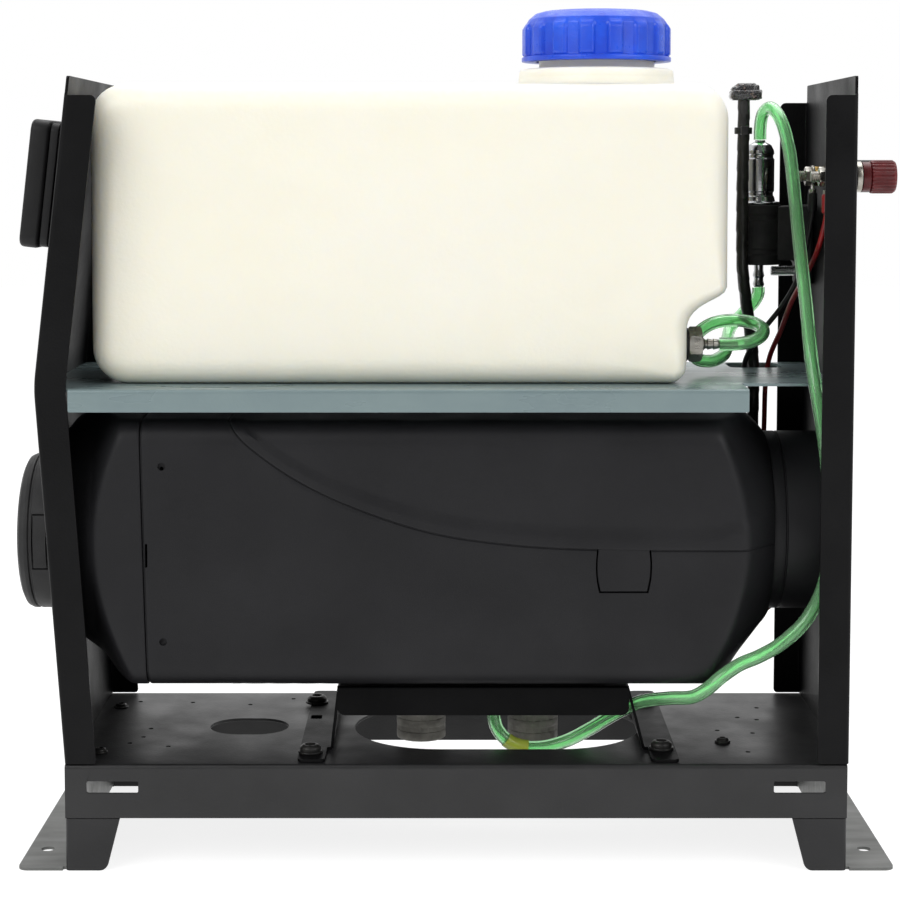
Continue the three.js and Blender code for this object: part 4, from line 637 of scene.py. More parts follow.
# ---- Foot brackets --------------------------------------------------------------------------------
# At each end a folded steel bracket carries the tray: a floor flange with two screw holes, an end
# wall and a lip under the tray, in dull zinc plate, and a black tapered leg at each face.
foot_outer = 197.25
foot_reach = 24.5
foot_web_top = 52.7
leg_top = 26.7
leg_foot_width = 20.5
leg_head_width = 27.5
foot_hole = (14.5, 44.5, 3.5)  # out from the web, either side of the middle, radius
lip_half = 73.2
zinc_grey = (116, 117, 115)


def brushed_zinc(name, tone, low, high, metal=0.55):
    """Plated sheet: patches of slightly different grey, and a fine grain along X."""
    dark = [max(0, c - 16) for c in tone]
    return coated(
        name, tone, dark, (40, 0, 1, 4.0), (120, low, high, 4.0, (0.15, 1, 1)), (900, 0.00002, 2.0, (0.08, 1, 1)),
        Metallic=metal, Specular_IOR_Level=0.5,
    )


foot_steel = brushed_zinc("dull_zinc", zinc_grey, 0.38, 0.56)
leg_steel = powder_black("leg_black_steel", (38, 38, 39), (110, 110, 110))


def bracket_parts(side):
    """One foot in mm: the bent strip of flange, wall and lip, and the two legs; side is -1 at the left."""
    edge_x = side * foot_outer
    strip = fold_line(
        [(-foot_reach, 0), (sheet, 0), (sheet, foot_web_top - sheet), (16.0, foot_web_top - sheet)],
        (bend, bend - sheet), (0, 0),
    )
    reach_u, wall_u, lip_u = strip[0][0], length_at(strip, (sheet, leg_top)), strip[0][-1]

    def on_strip(u, v, depth):
        place = bent((strip[0], strip[1], -strip[2]), u, depth)
        return np.column_stack([edge_x - side * place[:, 0], v, place[:, 1]])

    half = tray_half_depth
    fold_start = length_at(strip, (-1.5, 0))
    outline = round_corners(
        [(reach_u, -half), (fold_start, -half), (fold_start, -half + bend), (wall_u, -half + bend), (wall_u, -lip_half),
         (lip_u, -lip_half), (lip_u, lip_half), (wall_u, lip_half), (wall_u, half - bend), (fold_start, half - bend),
         (fold_start, half), (reach_u, half)],
        [5, 0, 0, 0, 0, 3, 3, 0, 0, 0, 0, 5],
    )
    holes = [
        oval(
            strip[0][0] + foot_reach - foot_hole[0], y, 2 * foot_hole[2], 2 * foot_hole[2], 12,
        ) for y in (-foot_hole[1], foot_hole[1])
    ]
    parts = [pressed_sheet(outline, holes, fold_cuts(strip, 0, 0.4), on_strip)]
    for face in (-1, 1):
        corner = fold_line([(0, bend + 4), (0, 0), (40, 0)], bend, (0, 0))
        start = length_at(corner, (0, bend))

        def on_leg(u, v, depth, face=face):
            place = bent((corner[0], corner[1], -corner[2]), u, depth)
            return np.column_stack([edge_x - side * place[:, 0], face * (tray_half_depth - place[:, 1]), v])

        shift = length_at(corner, (20, 0)) - 20
        leg = round_corners(
            [(start, 0), (leg_foot_width + shift, 0), (leg_head_width + shift, leg_top), (start, leg_top)],
            [0, 4.5, 0, 0],
        )
        parts.append(pressed_sheet(leg, [], fold_cuts(corner, 0, 0.3)[:-1], on_leg))
    return parts


for foot_name, foot_side in (("left_foot_bracket", -1), ("right_foot_bracket", 1)):
    flange_and_wall, *legs = bracket_parts(foot_side)
    piece(f"{foot_name}_flange", [flange_and_wall], foot_steel, [foot_name], edge=0.2)
    piece(f"{foot_name}_legs", legs, leg_steel, [foot_name], edge=0.2)

# ---- End plates -----------------------------------------------------------------------------------
# The same black sheet, folded to a channel at each end of the tray. The left one is kinked outwards
# at mid height, and carries the air outlet and the controller; the right one is straight.
plate_foot = 54.8
plate_top = 399.5
flange_top = 390.0
flange_width = 16.0
kink_z = 245.5
kink_x = -210.25
slope_below = -0.068063
slope_above = 0.119377
kink_round = 7.0
right_face = 198.0


def left_face(z):
    """X of the left plate's outer face: one slope below the kink and one above, joined by a parabola."""
    t = z - kink_z
    ramp = np.where(t > kink_round, t, np.where(t < -kink_round, 0, (t + kink_round) ** 2 / (4 * kink_round)))
    return kink_x + slope_below * t + (slope_above - slope_below) * ramp


channel = fold_line(
    rectangle(flange_width, -tray_half_depth, 0, tray_half_depth),
    bend, (0, 0),
)
channel_edge = channel[0][-1]
channel_turn = tray_half_depth - bend - 0.4
channel_blank = round_corners(
    [(-channel_edge, plate_foot), (channel_edge, plate_foot), (channel_edge, flange_top), (channel_turn + 1.2, flange_top),
     (channel_turn, flange_top + 1.0), (channel_turn, plate_top), (-channel_turn, plate_top),
     (-channel_turn, flange_top + 1.0),
     (-channel_turn - 1.2, flange_top), (-channel_edge, flange_top)],
    [2, 2, 3, 0, 0, 1.2, 1.2, 0, 0, 3],
)


def on_left_plate(y, z, depth):
    place = bent(channel, y, depth)
    return np.column_stack([left_face(z) + place[:, 0], place[:, 1], z])


def on_right_plate(y, z, depth):
    place = bent(channel, y, depth)
    return np.column_stack([right_face - place[:, 0], place[:, 1], z])


kink_cuts = [(1, kink_z + kink_round * k / 3) for k in range(-3, 4)]
piece(
    "left_end_plate_sheet",
    [pressed_sheet(
        channel_blank, [oval(0, 161.3, 73.4, 73.4, 32), oval(0, 344.5, 10, 10, 12)],
        fold_cuts(channel, 0) + kink_cuts + [(1, kink_z - 9), (1, kink_z + 9)], on_left_plate,
    )],
    black_steel, ["left_end_plate"], edge=0.22,
)
piece(
    "right_end_plate_sheet",
    [pressed_sheet(
        channel_blank,
        [
            oval(0, 167.2, 82.3, 82.3, 32), oval(50, 297.2, 6.2, 6.2, 10), oval(22, 349.5, 9.4, 9.4, 12),
            oval(-22, 349.5, 9.4, 9.4, 12),
        ],
        fold_cuts(channel, 0), on_right_plate,
    )],
    black_steel, ["right_end_plate"], edge=0.22,
)

# ---- Tank shelf -----------------------------------------------------------------------------------
# A folded sheet that bridges the two end plates under the tank, with a lip along its front and back, a
# notch at the front right for the hose and a slot for the wiring. Grey-blue paint over steel.
shelf_top = 244.5
shelf_lip_foot = 233.0
shelf_left = -208.28
shelf_lip_left = -193.1
shelf_notch_x = 145.75
shelf_notch_y = -45.3
shelf_right = 196.2
shelf_lip_right = 181.7
shelf_inner = 73.2
shelf_slot = (165.5, 54.0, 29.0, 28.0)
shelf_grey = (124, 141, 142)

shelf_paint = coated(
    "grey_blue_paint", shelf_grey, (115, 132, 135), (22, 0, 1, 4.0), (60, 0.24, 0.36, 4.0, (0.3, 1, 1)),
    (700, 0.00002, 2.0), Specular_IOR_Level=0.6, Metallic=0.15,
)
shelf_line = fold_line(
    [
        (-tray_half_depth, shelf_lip_foot), (-tray_half_depth, shelf_top), (tray_half_depth, shelf_top),
        (tray_half_depth, shelf_lip_foot),
    ],
    1.9, (0, shelf_top),
)
lip_u = shelf_line[0][-1]
shelf_blank = round_corners(
    [(shelf_left, -shelf_inner), (shelf_lip_left, -shelf_inner), (shelf_lip_left, -lip_u), (shelf_notch_x, -lip_u),
     (shelf_notch_x, shelf_notch_y), (shelf_right, shelf_notch_y), (shelf_right, shelf_inner),
     (shelf_lip_right, shelf_inner),
     (shelf_lip_right, lip_u), (shelf_lip_left, lip_u), (shelf_lip_left, shelf_inner), (shelf_left, shelf_inner)],
    [1, 0, 0.8, 0.8, 1, 1, 1, 0, 1, 1, 0, 1],
)
slot_x, slot_y, slot_length, slot_width = shelf_slot
shelf_hole = round_corners(
    rectangle(slot_x - slot_length / 2, slot_y - slot_width / 2, slot_x + slot_length / 2, slot_y + slot_width / 2),
    5,
)


def on_shelf(x, v, depth):
    return np.column_stack([x, bent(shelf_line, v, depth)])


piece(
    "tank_shelf_sheet", [pressed_sheet(shelf_blank, [shelf_hole], fold_cuts(shelf_line, 1), on_shelf)],
    shelf_paint, ["tank_shelf"], edge=0.2,
)

# ---- Bridge under the heater ----------------------------------------------------------------------
# A folded black sheet that stands on the tray on two feet and carries the heater over the large hole.
# Its front and back edges are folded down, its end walls have windows, and four bolts hold its feet.
bridge_top, bridge_seat = 88.4, 56.3
bridge_corners = [
    (-80.2, bridge_seat), (-64.7, bridge_seat), (-61, bridge_top), (89, bridge_top), (97.4, bridge_seat),
    (112.9, bridge_seat),
]
bridge_half = 50.0
bridge_foot_half = 71.5
bridge_flange_foot = 73.4
bridge_window = (47.2, 60.9, 85.9)  # half width, foot and head
exhaust_hole = (-18.5, 13.3)
intake_hole = (41.4, 13.7)
fuel_hole = (19.7, -28.0, 3.5)
foot_bolts = ((-77.2, 44.0), (-74.4, -58.0), (105.6, -51.0), (105.6, 44.0))
foot_bolt_radius = 5.4
foot_slot = (-75.6, 8.7, 16.6)  # in the left foot: its length along the heater, and where it starts and ends across
tray_screws = ((139.5, -32.0), (-183.0, -52.0), (-186.0, 40.0))

bridge_line = fold_line(bridge_corners, (bend - sheet, bend, bend, bend - sheet), (0, bridge_top))
bridge_bends = [length_at(bridge_line, corner) for corner in bridge_corners]
left_foot_u, right_foot_u = bridge_bends[1] - 1.6, bridge_bends[4] + 1.6
flat = bridge_half - bend
bridge_blank = round_corners(
    [(bridge_bends[0], -bridge_foot_half), (left_foot_u, -bridge_foot_half), (left_foot_u, -flat), (right_foot_u, -flat),
     (right_foot_u, -bridge_foot_half), (bridge_bends[5], -bridge_foot_half), (bridge_bends[5], bridge_foot_half),
     (right_foot_u, bridge_foot_half), (right_foot_u, flat), (left_foot_u, flat), (left_foot_u, bridge_foot_half),
     (bridge_bends[0], bridge_foot_half)],
    [3, 3, 1, 1, 3, 3, 3, 3, 1, 1, 3, 3],
)


def on_bridge(u, v, depth):
    place = bent(bridge_line, u, depth)
    return np.column_stack([place[:, 0], v, place[:, 1]])


bridge_holes = [
    oval(length_at(bridge_line, (x, bridge_top)), y, 2 * r, 2 * r, 16) for x, y,
    r in ((exhaust_hole[0], 0, exhaust_hole[1]), (intake_hole[0], 0, intake_hole[1]), fuel_hole)
]
for wall in (1, 3):
    foot_end, head_end = np.array(bridge_corners[wall]), np.array(bridge_corners[wall + 1])
    low_u, high_u = (
        length_at(
            bridge_line, foot_end + (head_end - foot_end) * abs((z - foot_end[1]) / (head_end[1] - foot_end[1])),
        )
        for z in bridge_window[1:]
    )
    half = bridge_window[0]
    low_u, high_u = min(low_u, high_u), max(low_u, high_u)
    bridge_holes.append(round_corners(rectangle(low_u, -half, high_u, half), 3))
u = length_at(bridge_line, (foot_slot[0], bridge_seat))
bridge_holes.append(round_corners(rectangle(u - 3, foot_slot[1], u + 3, foot_slot[2]), 0.8))
bridge_parts = [pressed_sheet(bridge_blank, bridge_holes, fold_cuts(bridge_line, 0), on_bridge)]
for face in (-1, 1):
    edge_line = fold_line(
        [(bridge_half, bridge_flange_foot), (bridge_half, bridge_corners[2][1]), (flat, bridge_corners[2][1])], bend,
        (bridge_half, 80),
    )
    edge_line = (edge_line[0], edge_line[1], -edge_line[2])

    def on_edge(u, v, depth, face=face, edge_line=edge_line):
        place = bent(edge_line, v, depth)
        return np.column_stack([u, face * place[:, 0], place[:, 1]])

    low, high = edge_line[0][0], edge_line[0][-1]
    corners = round_corners(rectangle(-61, low, 89, high), [4, 4, 0, 0])
    bridge_parts.append(pressed_sheet(corners, [], fold_cuts(edge_line, 1, 0.3)[:-1], on_edge))
piece("heater_bracket_sheet", bridge_parts, bridge_steel_painted_shade, ["heater_bracket"])


def turned(profile, axis="z", centre=(0, 0), sides=40, radii=0.3, shape=None, steps=3):
    """A closed profile of (radius, length) turned about an axis through centre, its corners rounded. shape(radius, length,
    angle) may change a radius from place to place. For axis x, centre is (y, z), for y it is (x, z), for z (x, y)."""
    line = round_corners(profile, radii, steps)
    turn = np.linspace(0, 2 * np.pi, sides, endpoint=False)
    r = np.repeat(line[:, :1], sides, 1)
    if shape is not None:
        r = shape(r, line[:, 1:], turn[None, :])
    across, up = r * np.cos(turn) + centre[0], r * np.sin(turn) + centre[1]
    length = np.repeat(line[:, 1:], sides, 1)
    order = {"x": (length, across, up), "y": (across, length, up), "z": (across, up, length)}[axis]
    return skin(np.stack(order, -1), length_closed=True)


def hexagon(flats):
    """A turned profile's radius cut back to six flats, that far apart: half of flats over the cosine of the angle to the
    nearest flat's middle."""
    return lambda r, length, turn: np.minimum(r, flats / 2 / np.cos((turn + np.pi / 6) % (np.pi / 3) - np.pi / 6))


def threaded(radius, pitch, depth):
    """The radius beyond a limit follows a thread: it falls and rises once per pitch, and a turn shifts it by one pitch."""
    def shape(r, length, turn):
        wave = np.abs((length / pitch + turn / (2 * np.pi)) % 1.0 - 0.5) * 2
        return np.where(r > radius - depth / 2, r - depth * wave, r)
    return shape


def stretched(profile, start, end, spacing):
    """Adds points along the straight side from point start to the next, so that a thread has something to shape."""
    count = max(2, int(abs(profile[end][1] - profile[start][1]) / spacing))
    a, b = np.array(profile[start], float), np.array(profile[end], float)
    middle = [tuple(a + (b - a) * k / count) for k in range(1, count)]
    return [*profile[: start + 1], *middle, *profile[end:]]


black_oxide = coated(
    "black_oxide_bolts", (34, 34, 35), (58, 57, 55), (150, 0, 1), (200, 0.3, 0.5), (900, 0.00002),
    Metallic=0.6, Specular_IOR_Level=0.5,
)
bolt_parts = []
for x, y in (*foot_bolts, *tray_screws):
    foot = bridge_seat if (x, y) in foot_bolts else tray_top
    size = foot_bolt_radius if (x, y) in foot_bolts else 3.2
    bolt_parts.append(turned(rectangle(0, foot, size + 0.9, foot + 1.1), centre=(x, y), sides=28))
    socket = size * 0.5
    head = [
        (0, foot + 0.9), (size, foot + 0.9), (size, foot + size * 0.55), (size * 0.75, foot + size * 0.78),
        (socket, foot + size * 0.8), (socket, foot + 1.6), (0, foot + 1.6),
    ]
    bolt_parts.append(turned(head, centre=(x, y), sides=28, radii=[0, 0.2, 1.2, 0.8, 0.2, 0, 0]))
piece("bridge_bolts", bolt_parts, black_oxide)

# ---- Fuel tank ------------------------------------------------------------------------------------
# Blow-moulded in milky polyethylene, 2.5 mm thick and hollow, with large soft edges, a step at the
# lower right over the outlet, a low round boss and a threaded neck. A faint parting ridge runs round it.
tank_left, tank_right = -185.0, 137.8
tank_foot, tank_top = 244.8, 396.5
tank_step_x = 117.5
tank_step_points = ((117.5, 272.0), (117.5, 286.67), (137.8, 286.67), (137.8, 294.0))
tank_half = 55.0
tank_wall = 2.5
tank_corner = 18.0
tank_foot_corner = 9.0
tank_edge_in = 13.5  # how far the front's soft edge reaches in
tank_tight_edge = 5.5  # the same beside the step, where the outline turns sharply
tank_edge_back = 10.5  # and how far back
tank_crown = 1.6
tank_middle = (-20.0, 322.0)  # where the front swells most
tank_tight_reach = 26.0
neck_x = 73.7
boss_radius, boss_top = 40.5, 405.5
neck_radius, neck_bore, neck_top = 31.0, 26.0, 426.0
neck_pitch, neck_thread_height = 6.0, 1.5
neck_thread_span = (410.5, 424.5)
outlet_place = (-20.0, 262.5)
tank_milk = (246, 243, 231)
tank_cream = (242, 238, 219)


def even_loop(points, count):
    """The same closed loop through count places at even steps of its length."""
    p = np.vstack([points, points[:1]])
    far = np.concatenate([[0], np.cumsum(np.linalg.norm(np.diff(p, axis=0), axis=1))])
    even = np.linspace(0, far[-1], count, endpoint=False)
    return np.stack([np.interp(even, far, p[:, k]) for k in range(2)], 1)


def tank_form(inset, count=300):
    """The tank inset by so much. Its side outline is drawn in by a(1 - cos f) while it goes back by b sin f, which makes
    the soft front and back edges, and the faces between them swell by crown (1 - t^2)^2, t being the share of the way out
    from the middle."""
    t = np.linspace(0, 1, 14)[1:-1, None]
    p = np.array(tank_step_points)
    step = (1 - t) ** 3 * p[0] + 3 * (1 - t) ** 2 * t * p[1] + 3 * (1 - t) * t**2 * p[2] + t**3 * p[3]
    corners = [
        (tank_left, tank_foot), (tank_step_x, tank_foot), p[0], *step, p[3], (tank_right, tank_top),
        (tank_left, tank_top),
    ]
    radii = [tank_corner, tank_foot_corner, *[0] * (len(step) + 2), tank_corner, tank_corner]
    loop = even_loop(round_corners(corners, radii, 10), count)
    way = np.roll(loop, -1, 0) - np.roll(loop, 1, 0)
    out = np.stack([way[:, 1], -way[:, 0]], 1) / np.linalg.norm(way, axis=1)[:, None]
    tight = np.zeros(count)
    for corner in ((tank_step_x, tank_foot), (tank_right - 3, 289)):
        tight = np.maximum(tight, np.exp(-((np.linalg.norm(loop - corner, axis=1) / tank_tight_reach) ** 2)))
    soft = (tank_edge_in - (tank_edge_in - tank_tight_edge) * tight)[:, None]
    loop = loop - inset * out
    half, middle = tank_half - inset, np.array(tank_middle)
    rings = []
    for share in (0.02, 0.2, 0.4, 0.6, 0.75, 0.87, 0.95):
        rim = loop - soft * out
        at = middle + share * (rim - middle)
        rings.append(np.column_stack([at[:, 0], np.full(count, -half - tank_crown * (1 - share**2) ** 2), at[:, 1]]))
    for turn in np.linspace(np.pi / 2, 0, 9):
        at = loop - soft * (1 - np.cos(turn)) * out
        rings.append(
            np.column_stack(
                [at[:, 0], np.full(count, -(half - tank_edge_back) - tank_edge_back * np.sin(turn)), at[:, 1]]
            )
        )
    for y, proud in ((-30, 0), (-1.6, 0), (-0.7, 0.3), (0, 0.4)):
        at = loop + (0 if inset else proud) * out
        rings.append(np.column_stack([at[:, 0], np.full(count, float(y)), at[:, 1]]))
    front = np.array(rings)
    back = front[-2::-1] * (1, -1, 1)
    return skin(np.concatenate([front, back]))


def carve(solids, cutters):
    """Closed surfaces less other closed surfaces, as points in mm and faces."""
    made = []
    for name, parts in (("carved", solids), ("cutter", cutters)):
        thing = bpy.data.objects.new(name, solid_mesh(name, parts))
        bpy.context.scene.collection.objects.link(thing)
        made.append(thing)
    solid, tool = made
    step = solid.modifiers.new("carve", "BOOLEAN")
    step.object, step.operation, step.solver, step.use_self = tool, "DIFFERENCE", "EXACT", len(cutters) > 1
    result = bpy.data.meshes.new_from_object(solid.evaluated_get(bpy.context.evaluated_depsgraph_get()))
    points = np.empty(len(result.vertices) * 3)
    result.vertices.foreach_get("co", points)
    faces = [list(face.vertices) for face in result.polygons]
    for thing in made:
        mesh = thing.data
        bpy.data.objects.remove(thing)
        bpy.data.meshes.remove(mesh)
    bpy.data.meshes.remove(result)
    return points.reshape(-1, 3) * 1000, faces


tank_plastic = coated(
    "milky_polyethylene", tank_milk, tank_cream, (9, 0.0, 0.45), Roughness=0.38, Specular_IOR_Level=0.35,
    Subsurface_Weight=1.0, Subsurface_Scale=0.003, Subsurface_Radius=(0.8, 0.86, 1.0), Coat_Weight=0.15,
    Coat_Roughness=0.3,
)
tank_swirl = relief(tank_plastic, mottle(tank_plastic, 14, 0, 1, 2.0), 0.0012)
relief(tank_plastic, mottle(tank_plastic, 420, 0, 1), 0.00004, tank_swirl)
neck_hole = turned(rectangle(0, 380, neck_bore, 412), centre=(neck_x, 0), sides=64, radii=0)
outlet_hole = turned(rectangle(0, 100, 4.8, 125), "x", outlet_place, sides=32, radii=0)
tank_shell = carve([tank_form(0)], [tank_form(tank_wall), neck_hole, outlet_hole])
boss = [
    (neck_bore, 394.5), (boss_radius + 4, 394.5), (boss_radius + 4, 396.4), (boss_radius + 0.6, 397.2),
    (boss_radius, 401), (boss_radius, boss_top), (neck_bore, boss_top),
]
neck = [
    (neck_bore, 396), (neck_radius - 1.6, 396), (neck_radius - 1.6, 412), (neck_radius - 1.6, neck_top),
    (neck_bore, neck_top),
]
neck = stretched(neck, 2, 3, 0.8)


def neck_thread(r, length, turn):
    """The neck's radius with its coarse thread: a flat-topped ridge that climbs one pitch per turn."""
    ridge = np.clip(1.6 - 3.2 * np.abs((length / neck_pitch + turn / (2 * np.pi)) % 1.0 - 0.5), 0, 1)
    low, high = neck_thread_span
    return np.where((r > neck_radius - 2) & (length > low) & (length < high), r + neck_thread_height * ridge, r)


piece(
    "fuel_tank_shell",
    [tank_shell, turned(boss, centre=(neck_x, 0), sides=96, radii=[0, 0, 0, 3, 2, 2.6, 1]),
     turned(neck, centre=(neck_x, 0), sides=96, radii=0, shape=neck_thread)],
    tank_plastic, ["fuel_tank"], turn=50,
)

# ---- Tank cap -------------------------------------------------------------------------------------
# A blue polypropylene screw cap: sixteen upright ribs round its skirt, a plain band below them, a
# rounded shoulder and a slightly dished top with a low ring.
cap_foot, cap_roof = 409.3, 429.0
cap_bore = 31.8
cap_band = 39.1
cap_body = 36.9
cap_rib = 38.9
rib_foot, rib_head = 411.6, 428.0
rib_count = 16
cap_blue = (34, 90, 226)
cap_deep_blue = (24, 66, 200)

cap_profile = [
    (0, cap_roof), (cap_bore, cap_roof), (cap_bore, cap_foot), (cap_band, cap_foot), (cap_band, 411.6),
    (cap_body, 412.2),
    (cap_body, 428.4), (35.6, 431.2), (31.9, 434.3), (27.5, 435.5), (26.6, 435.1), (24.8, 435.1), (24, 435.6),
    (0, 436.3),
]
cap_profile = stretched(cap_profile, 5, 6, 1.0)


def ribbed(r, length, turn):
    """The skirt's radius with its ribs: a rounded bump round every sixteenth of a turn, fading at its head and foot."""
    beat = np.abs(((turn / (2 * np.pi) * rib_count) % 1.0) - 0.5) * 2
    bump = np.clip((0.62 - beat) / 0.2, 0, 1)
    bump = bump * bump * (3 - 2 * bump)
    inside = np.clip((length - rib_foot) / 1.2, 0, 1) * np.clip((rib_head + 1.6 - length) / 3.2, 0, 1)
    return np.where(r > 34.5, r + (cap_rib - cap_body) * bump * inside * np.clip((cap_rib + 0.3 - r) / 1.2, 0, 1), r)


cap_plastic = coated(
    "blue_polypropylene", cap_blue, cap_deep_blue, (60, 0, 1), (120, 0.26, 0.4), (700, 0.00004, 2.0),
    Specular_IOR_Level=0.5, Subsurface_Weight=0.12, Subsurface_Scale=0.003,
)
cap_radii = [0, 0.3, 0.3, 0.5, 0.6, 0.3, *[0] * (len(cap_profile) - 14), 1.5, 2.2, 3, 0.8, 0.3, 0.3, 0.8, 0]
piece(
    "tank_cap_moulding",
    [turned(cap_profile, centre=(neck_x, 0), sides=320, radii=cap_radii, shape=ribbed)],
    cap_plastic, ["tank_cap"], body="cap", turn=45,
)

# ---- Tank outlet ----------------------------------------------------------------------------------
# A nickel-plated brass fitting: a 16 mm hex nut against a rubber washer, and a ridged barb
# that the clear hose is pushed over.
nut_flats = 16.0
nut_left, nut_right = 121.1, 127.9
washer_left, washer_right = 117.8, 120.8
barb_tip = 137.0
spigot_tip = 147.0

plated_brass = coated(
    "plated_brass", (188, 186, 180), (150, 146, 136), (120, 0, 1), (150, 0.22, 0.4),
    (900, 0.00003, 2.0, (0.1, 1, 1)), Metallic=1.0,
)
nut = turned(
    [
        (1.8, nut_left), (8.4, nut_left), (9.24, nut_left + 0.7), (9.24, nut_right - 0.7), (8.4, nut_right),
        (1.8, nut_right),
    ],
    "x", outlet_place, 72, 0, hexagon(nut_flats),
)
shank = turned(rectangle(1.8, 108.8, 4.5, 122.5), "x", outlet_place, 32)
barb = turned(
    [(1.75, 126.5), (3.4, 126.5), (3.4, 129), (2.4, 129.8), (2.4, 130.9), (2.95, 131.1), (2.3, 133.9), (2.95, 134.1), (2.3, barb_tip),
     (1.75, barb_tip)], "x", outlet_place, 32, 0.12,
)
spigot = turned(
    [(1.1, barb_tip - 0.6), (1.75, barb_tip - 0.6), (1.75, spigot_tip - 4), (1.5, spigot_tip), (1.1, spigot_tip)],
    "x", outlet_place, 24,
)
piece("tank_outlet_fitting", [nut, shank, barb, spigot], plated_brass, ["tank_outlet"])
rubber = coated(
    "black_rubber", (30, 30, 31), (44, 44, 44), (90, 0, 1), (70, 0.5, 0.72), (500, 0.00006, 4.0),
    Specular_IOR_Level=0.3,
)
piece(
    "outlet_washer_ring",
    [turned(rectangle(4.9, washer_left, 9, washer_right), "x", outlet_place, 40, 1.1)],
    rubber, ["outlet_washer"],
)

# ---- Fuel pump ------------------------------------------------------------------------------------
# A metering pump: a bright steel barrel crimped round a nozzle at each end, standing in a rubber ring
# whose arm reaches to the right plate and is held there by one bolt.
pump_x, pump_y = 167.3, 50.0
pump_foot, pump_head = 288.3, 369.0
barrel_foot = 300.8
barrel_radius = 8.0
ring_radius = 12.0
ring_foot, ring_head = 300.8, 333.8
arm_half = 8.0
plate_inside = 196.2
mount_bolt_z = 297.2

bright_steel = coated(
    "bright_steel", (205, 206, 208), (160, 161, 164), (60, 0, 1, 4.0, (1, 1, 0.2)),
    (120, 0.1, 0.24, 4.0, (1, 1, 0.1)), (600, 0.00001, 2.0, (0.1, 0.1, 1)), Metallic=1.0,
)
barrel = [
    (1.5, pump_foot), (2.6, pump_foot), (3.2, pump_foot + 1.4), (2.6, pump_foot + 3.6), (2.6, pump_foot + 5),
    (3.2, pump_foot + 6.2),
    (2.6, pump_foot + 9), (2.6, barrel_foot + 0.4), (6.8, barrel_foot), (7.9, barrel_foot + 1.4),
    (barrel_radius, barrel_foot + 3),
    (barrel_radius, 333.4), (11.2, 333.9), (11.6, 334.5), (11.2, 335.1), (8.6, 335.6), (barrel_radius, 338),
    (7.4, 338.8), (7.4, 340.4), (barrel_radius, 341.2), (barrel_radius, 358.6), (7.35, 359.4), (7.35, 360.8),
    (7.9, 361.6), (7.7, 363.4), (6.2, 366.4), (3.4, 368), (2.9, 368.1), (2.9, pump_head), (1.5, pump_head),
    (1.5, 356), (5, 356), (5, 305), (1.5, 305),
]
piece(
    "pump_body_barrel", [turned(barrel, centre=(pump_x, pump_y), sides=64, radii=[0.3] * 8 + [0.4] * 18 + [0.2] * 8)],
    bright_steel, ["pump_body"],
)
ring_profile = [
    (8.3, ring_foot), (ring_radius, ring_foot), (ring_radius, 306), (ring_radius - 0.8, 307),
    (ring_radius - 0.8, 309),
    (ring_radius, 310), (ring_radius, 325), (ring_radius - 0.8, 326), (ring_radius - 0.8, 328), (ring_radius, 329),
    (ring_radius, ring_head), (8.3, ring_head),
]
arm_outline = round_corners(
    [
        (pump_x + 8.6, ring_foot + 2.5), (187, ring_foot + 2.5), (187, 290.2), (plate_inside, 290.2),
        (plate_inside, ring_head), (pump_x + 8.6, ring_head - 1),
    ],
    [0, 3, 2, 1.2, 1.2, 0],
)


def block(outline, axis, start, end, edge=0.8, turns=4):
    """A closed outline drawn through from start to end along an axis, its two rims rounded: each ring is the outline drawn
    in by edge (1 - cos f) where it stands edge (1 - sin f) inside the end."""
    p = np.asarray(outline, float)
    way = np.roll(p, -1, 0) - np.roll(p, 1, 0)
    out = np.stack([way[:, 1], -way[:, 0]], 1) / np.linalg.norm(way, axis=1)[:, None]
    if (p[:, 0] * np.roll(p[:, 1], -1) - np.roll(p[:, 0], -1) * p[:, 1]).sum() < 0:
        out = -out
    turn = np.linspace(np.pi / 2, 0, turns + 1)
    rings, places = [], []
    for sign, from_end in ((1, start), (-1, end)):
        for f in turn if sign > 0 else turn[::-1]:
            rings.append(p - edge * (1 - np.cos(f)) * out)
            places.append(from_end + sign * edge * (1 - np.sin(f)))
    rings, places = np.array(rings), np.repeat(np.array(places)[:, None], len(p), 1)
    order = {
        "x": (places, rings[..., 0], rings[..., 1]), "y": (rings[..., 0], places, rings[..., 1]),
        "z": (rings[..., 0], rings[..., 1], places),
    }
    return skin(np.stack(order[axis], -1))


mount_solid = carve(
    [block(arm_outline, "y", pump_y - arm_half, pump_y + arm_half, 1.5)],
    [turned(rectangle(0, 180, 3.1, 200), "x", (pump_y, mount_bolt_z), 24, 0)],
)
piece(
    "pump_mount_rubber", [turned(ring_profile, centre=(pump_x, pump_y), sides=56, radii=0.7), mount_solid],
    rubber, ["pump_mount"], turn=40,
)
pale_zinc = brushed_zinc("bright_zinc_bolt", (206, 207, 208), 0.22, 0.34, 0.8)
bolt_line = stretched([(0, 174), (2.35, 174), (2.8, 174.6), (2.8, 186.8), (0, 186.8)], 2, 3, 0.125)
bolt_shank = turned(bolt_line, "x", (pump_y, mount_bolt_z), 20, 0, threaded(2.8, 0.9, 0.42))
bolt_head = turned(
    [(0, 198.2), (5.2, 198.2), (5.77, 198.8), (5.77, 201.6), (5.2, 202.3), (4.2, 202.3), (4, 202), (0, 202)], "x",
    (pump_y, mount_bolt_z), 72,
    0, hexagon(10),
)
piece(
    "pump_mount_bolt_steel",
    [bolt_shank, bolt_head, turned(rectangle(0, 186.3, 2.7, 198.6), "x", (pump_y, mount_bolt_z), 24)],
    pale_zinc, ["pump_mount_bolt"],
)

# ---- Harness plug and tie -------------------------------------------------------------------------
# The bundle ends at the top in a black crumpled wad of tape round its wires' plugs, and a cable tie
# holds it below.
wad_x, wad_y = 157.5, 38.0
wad_foot, wad_step, wad_top = 390.8, 395.9, 399.3


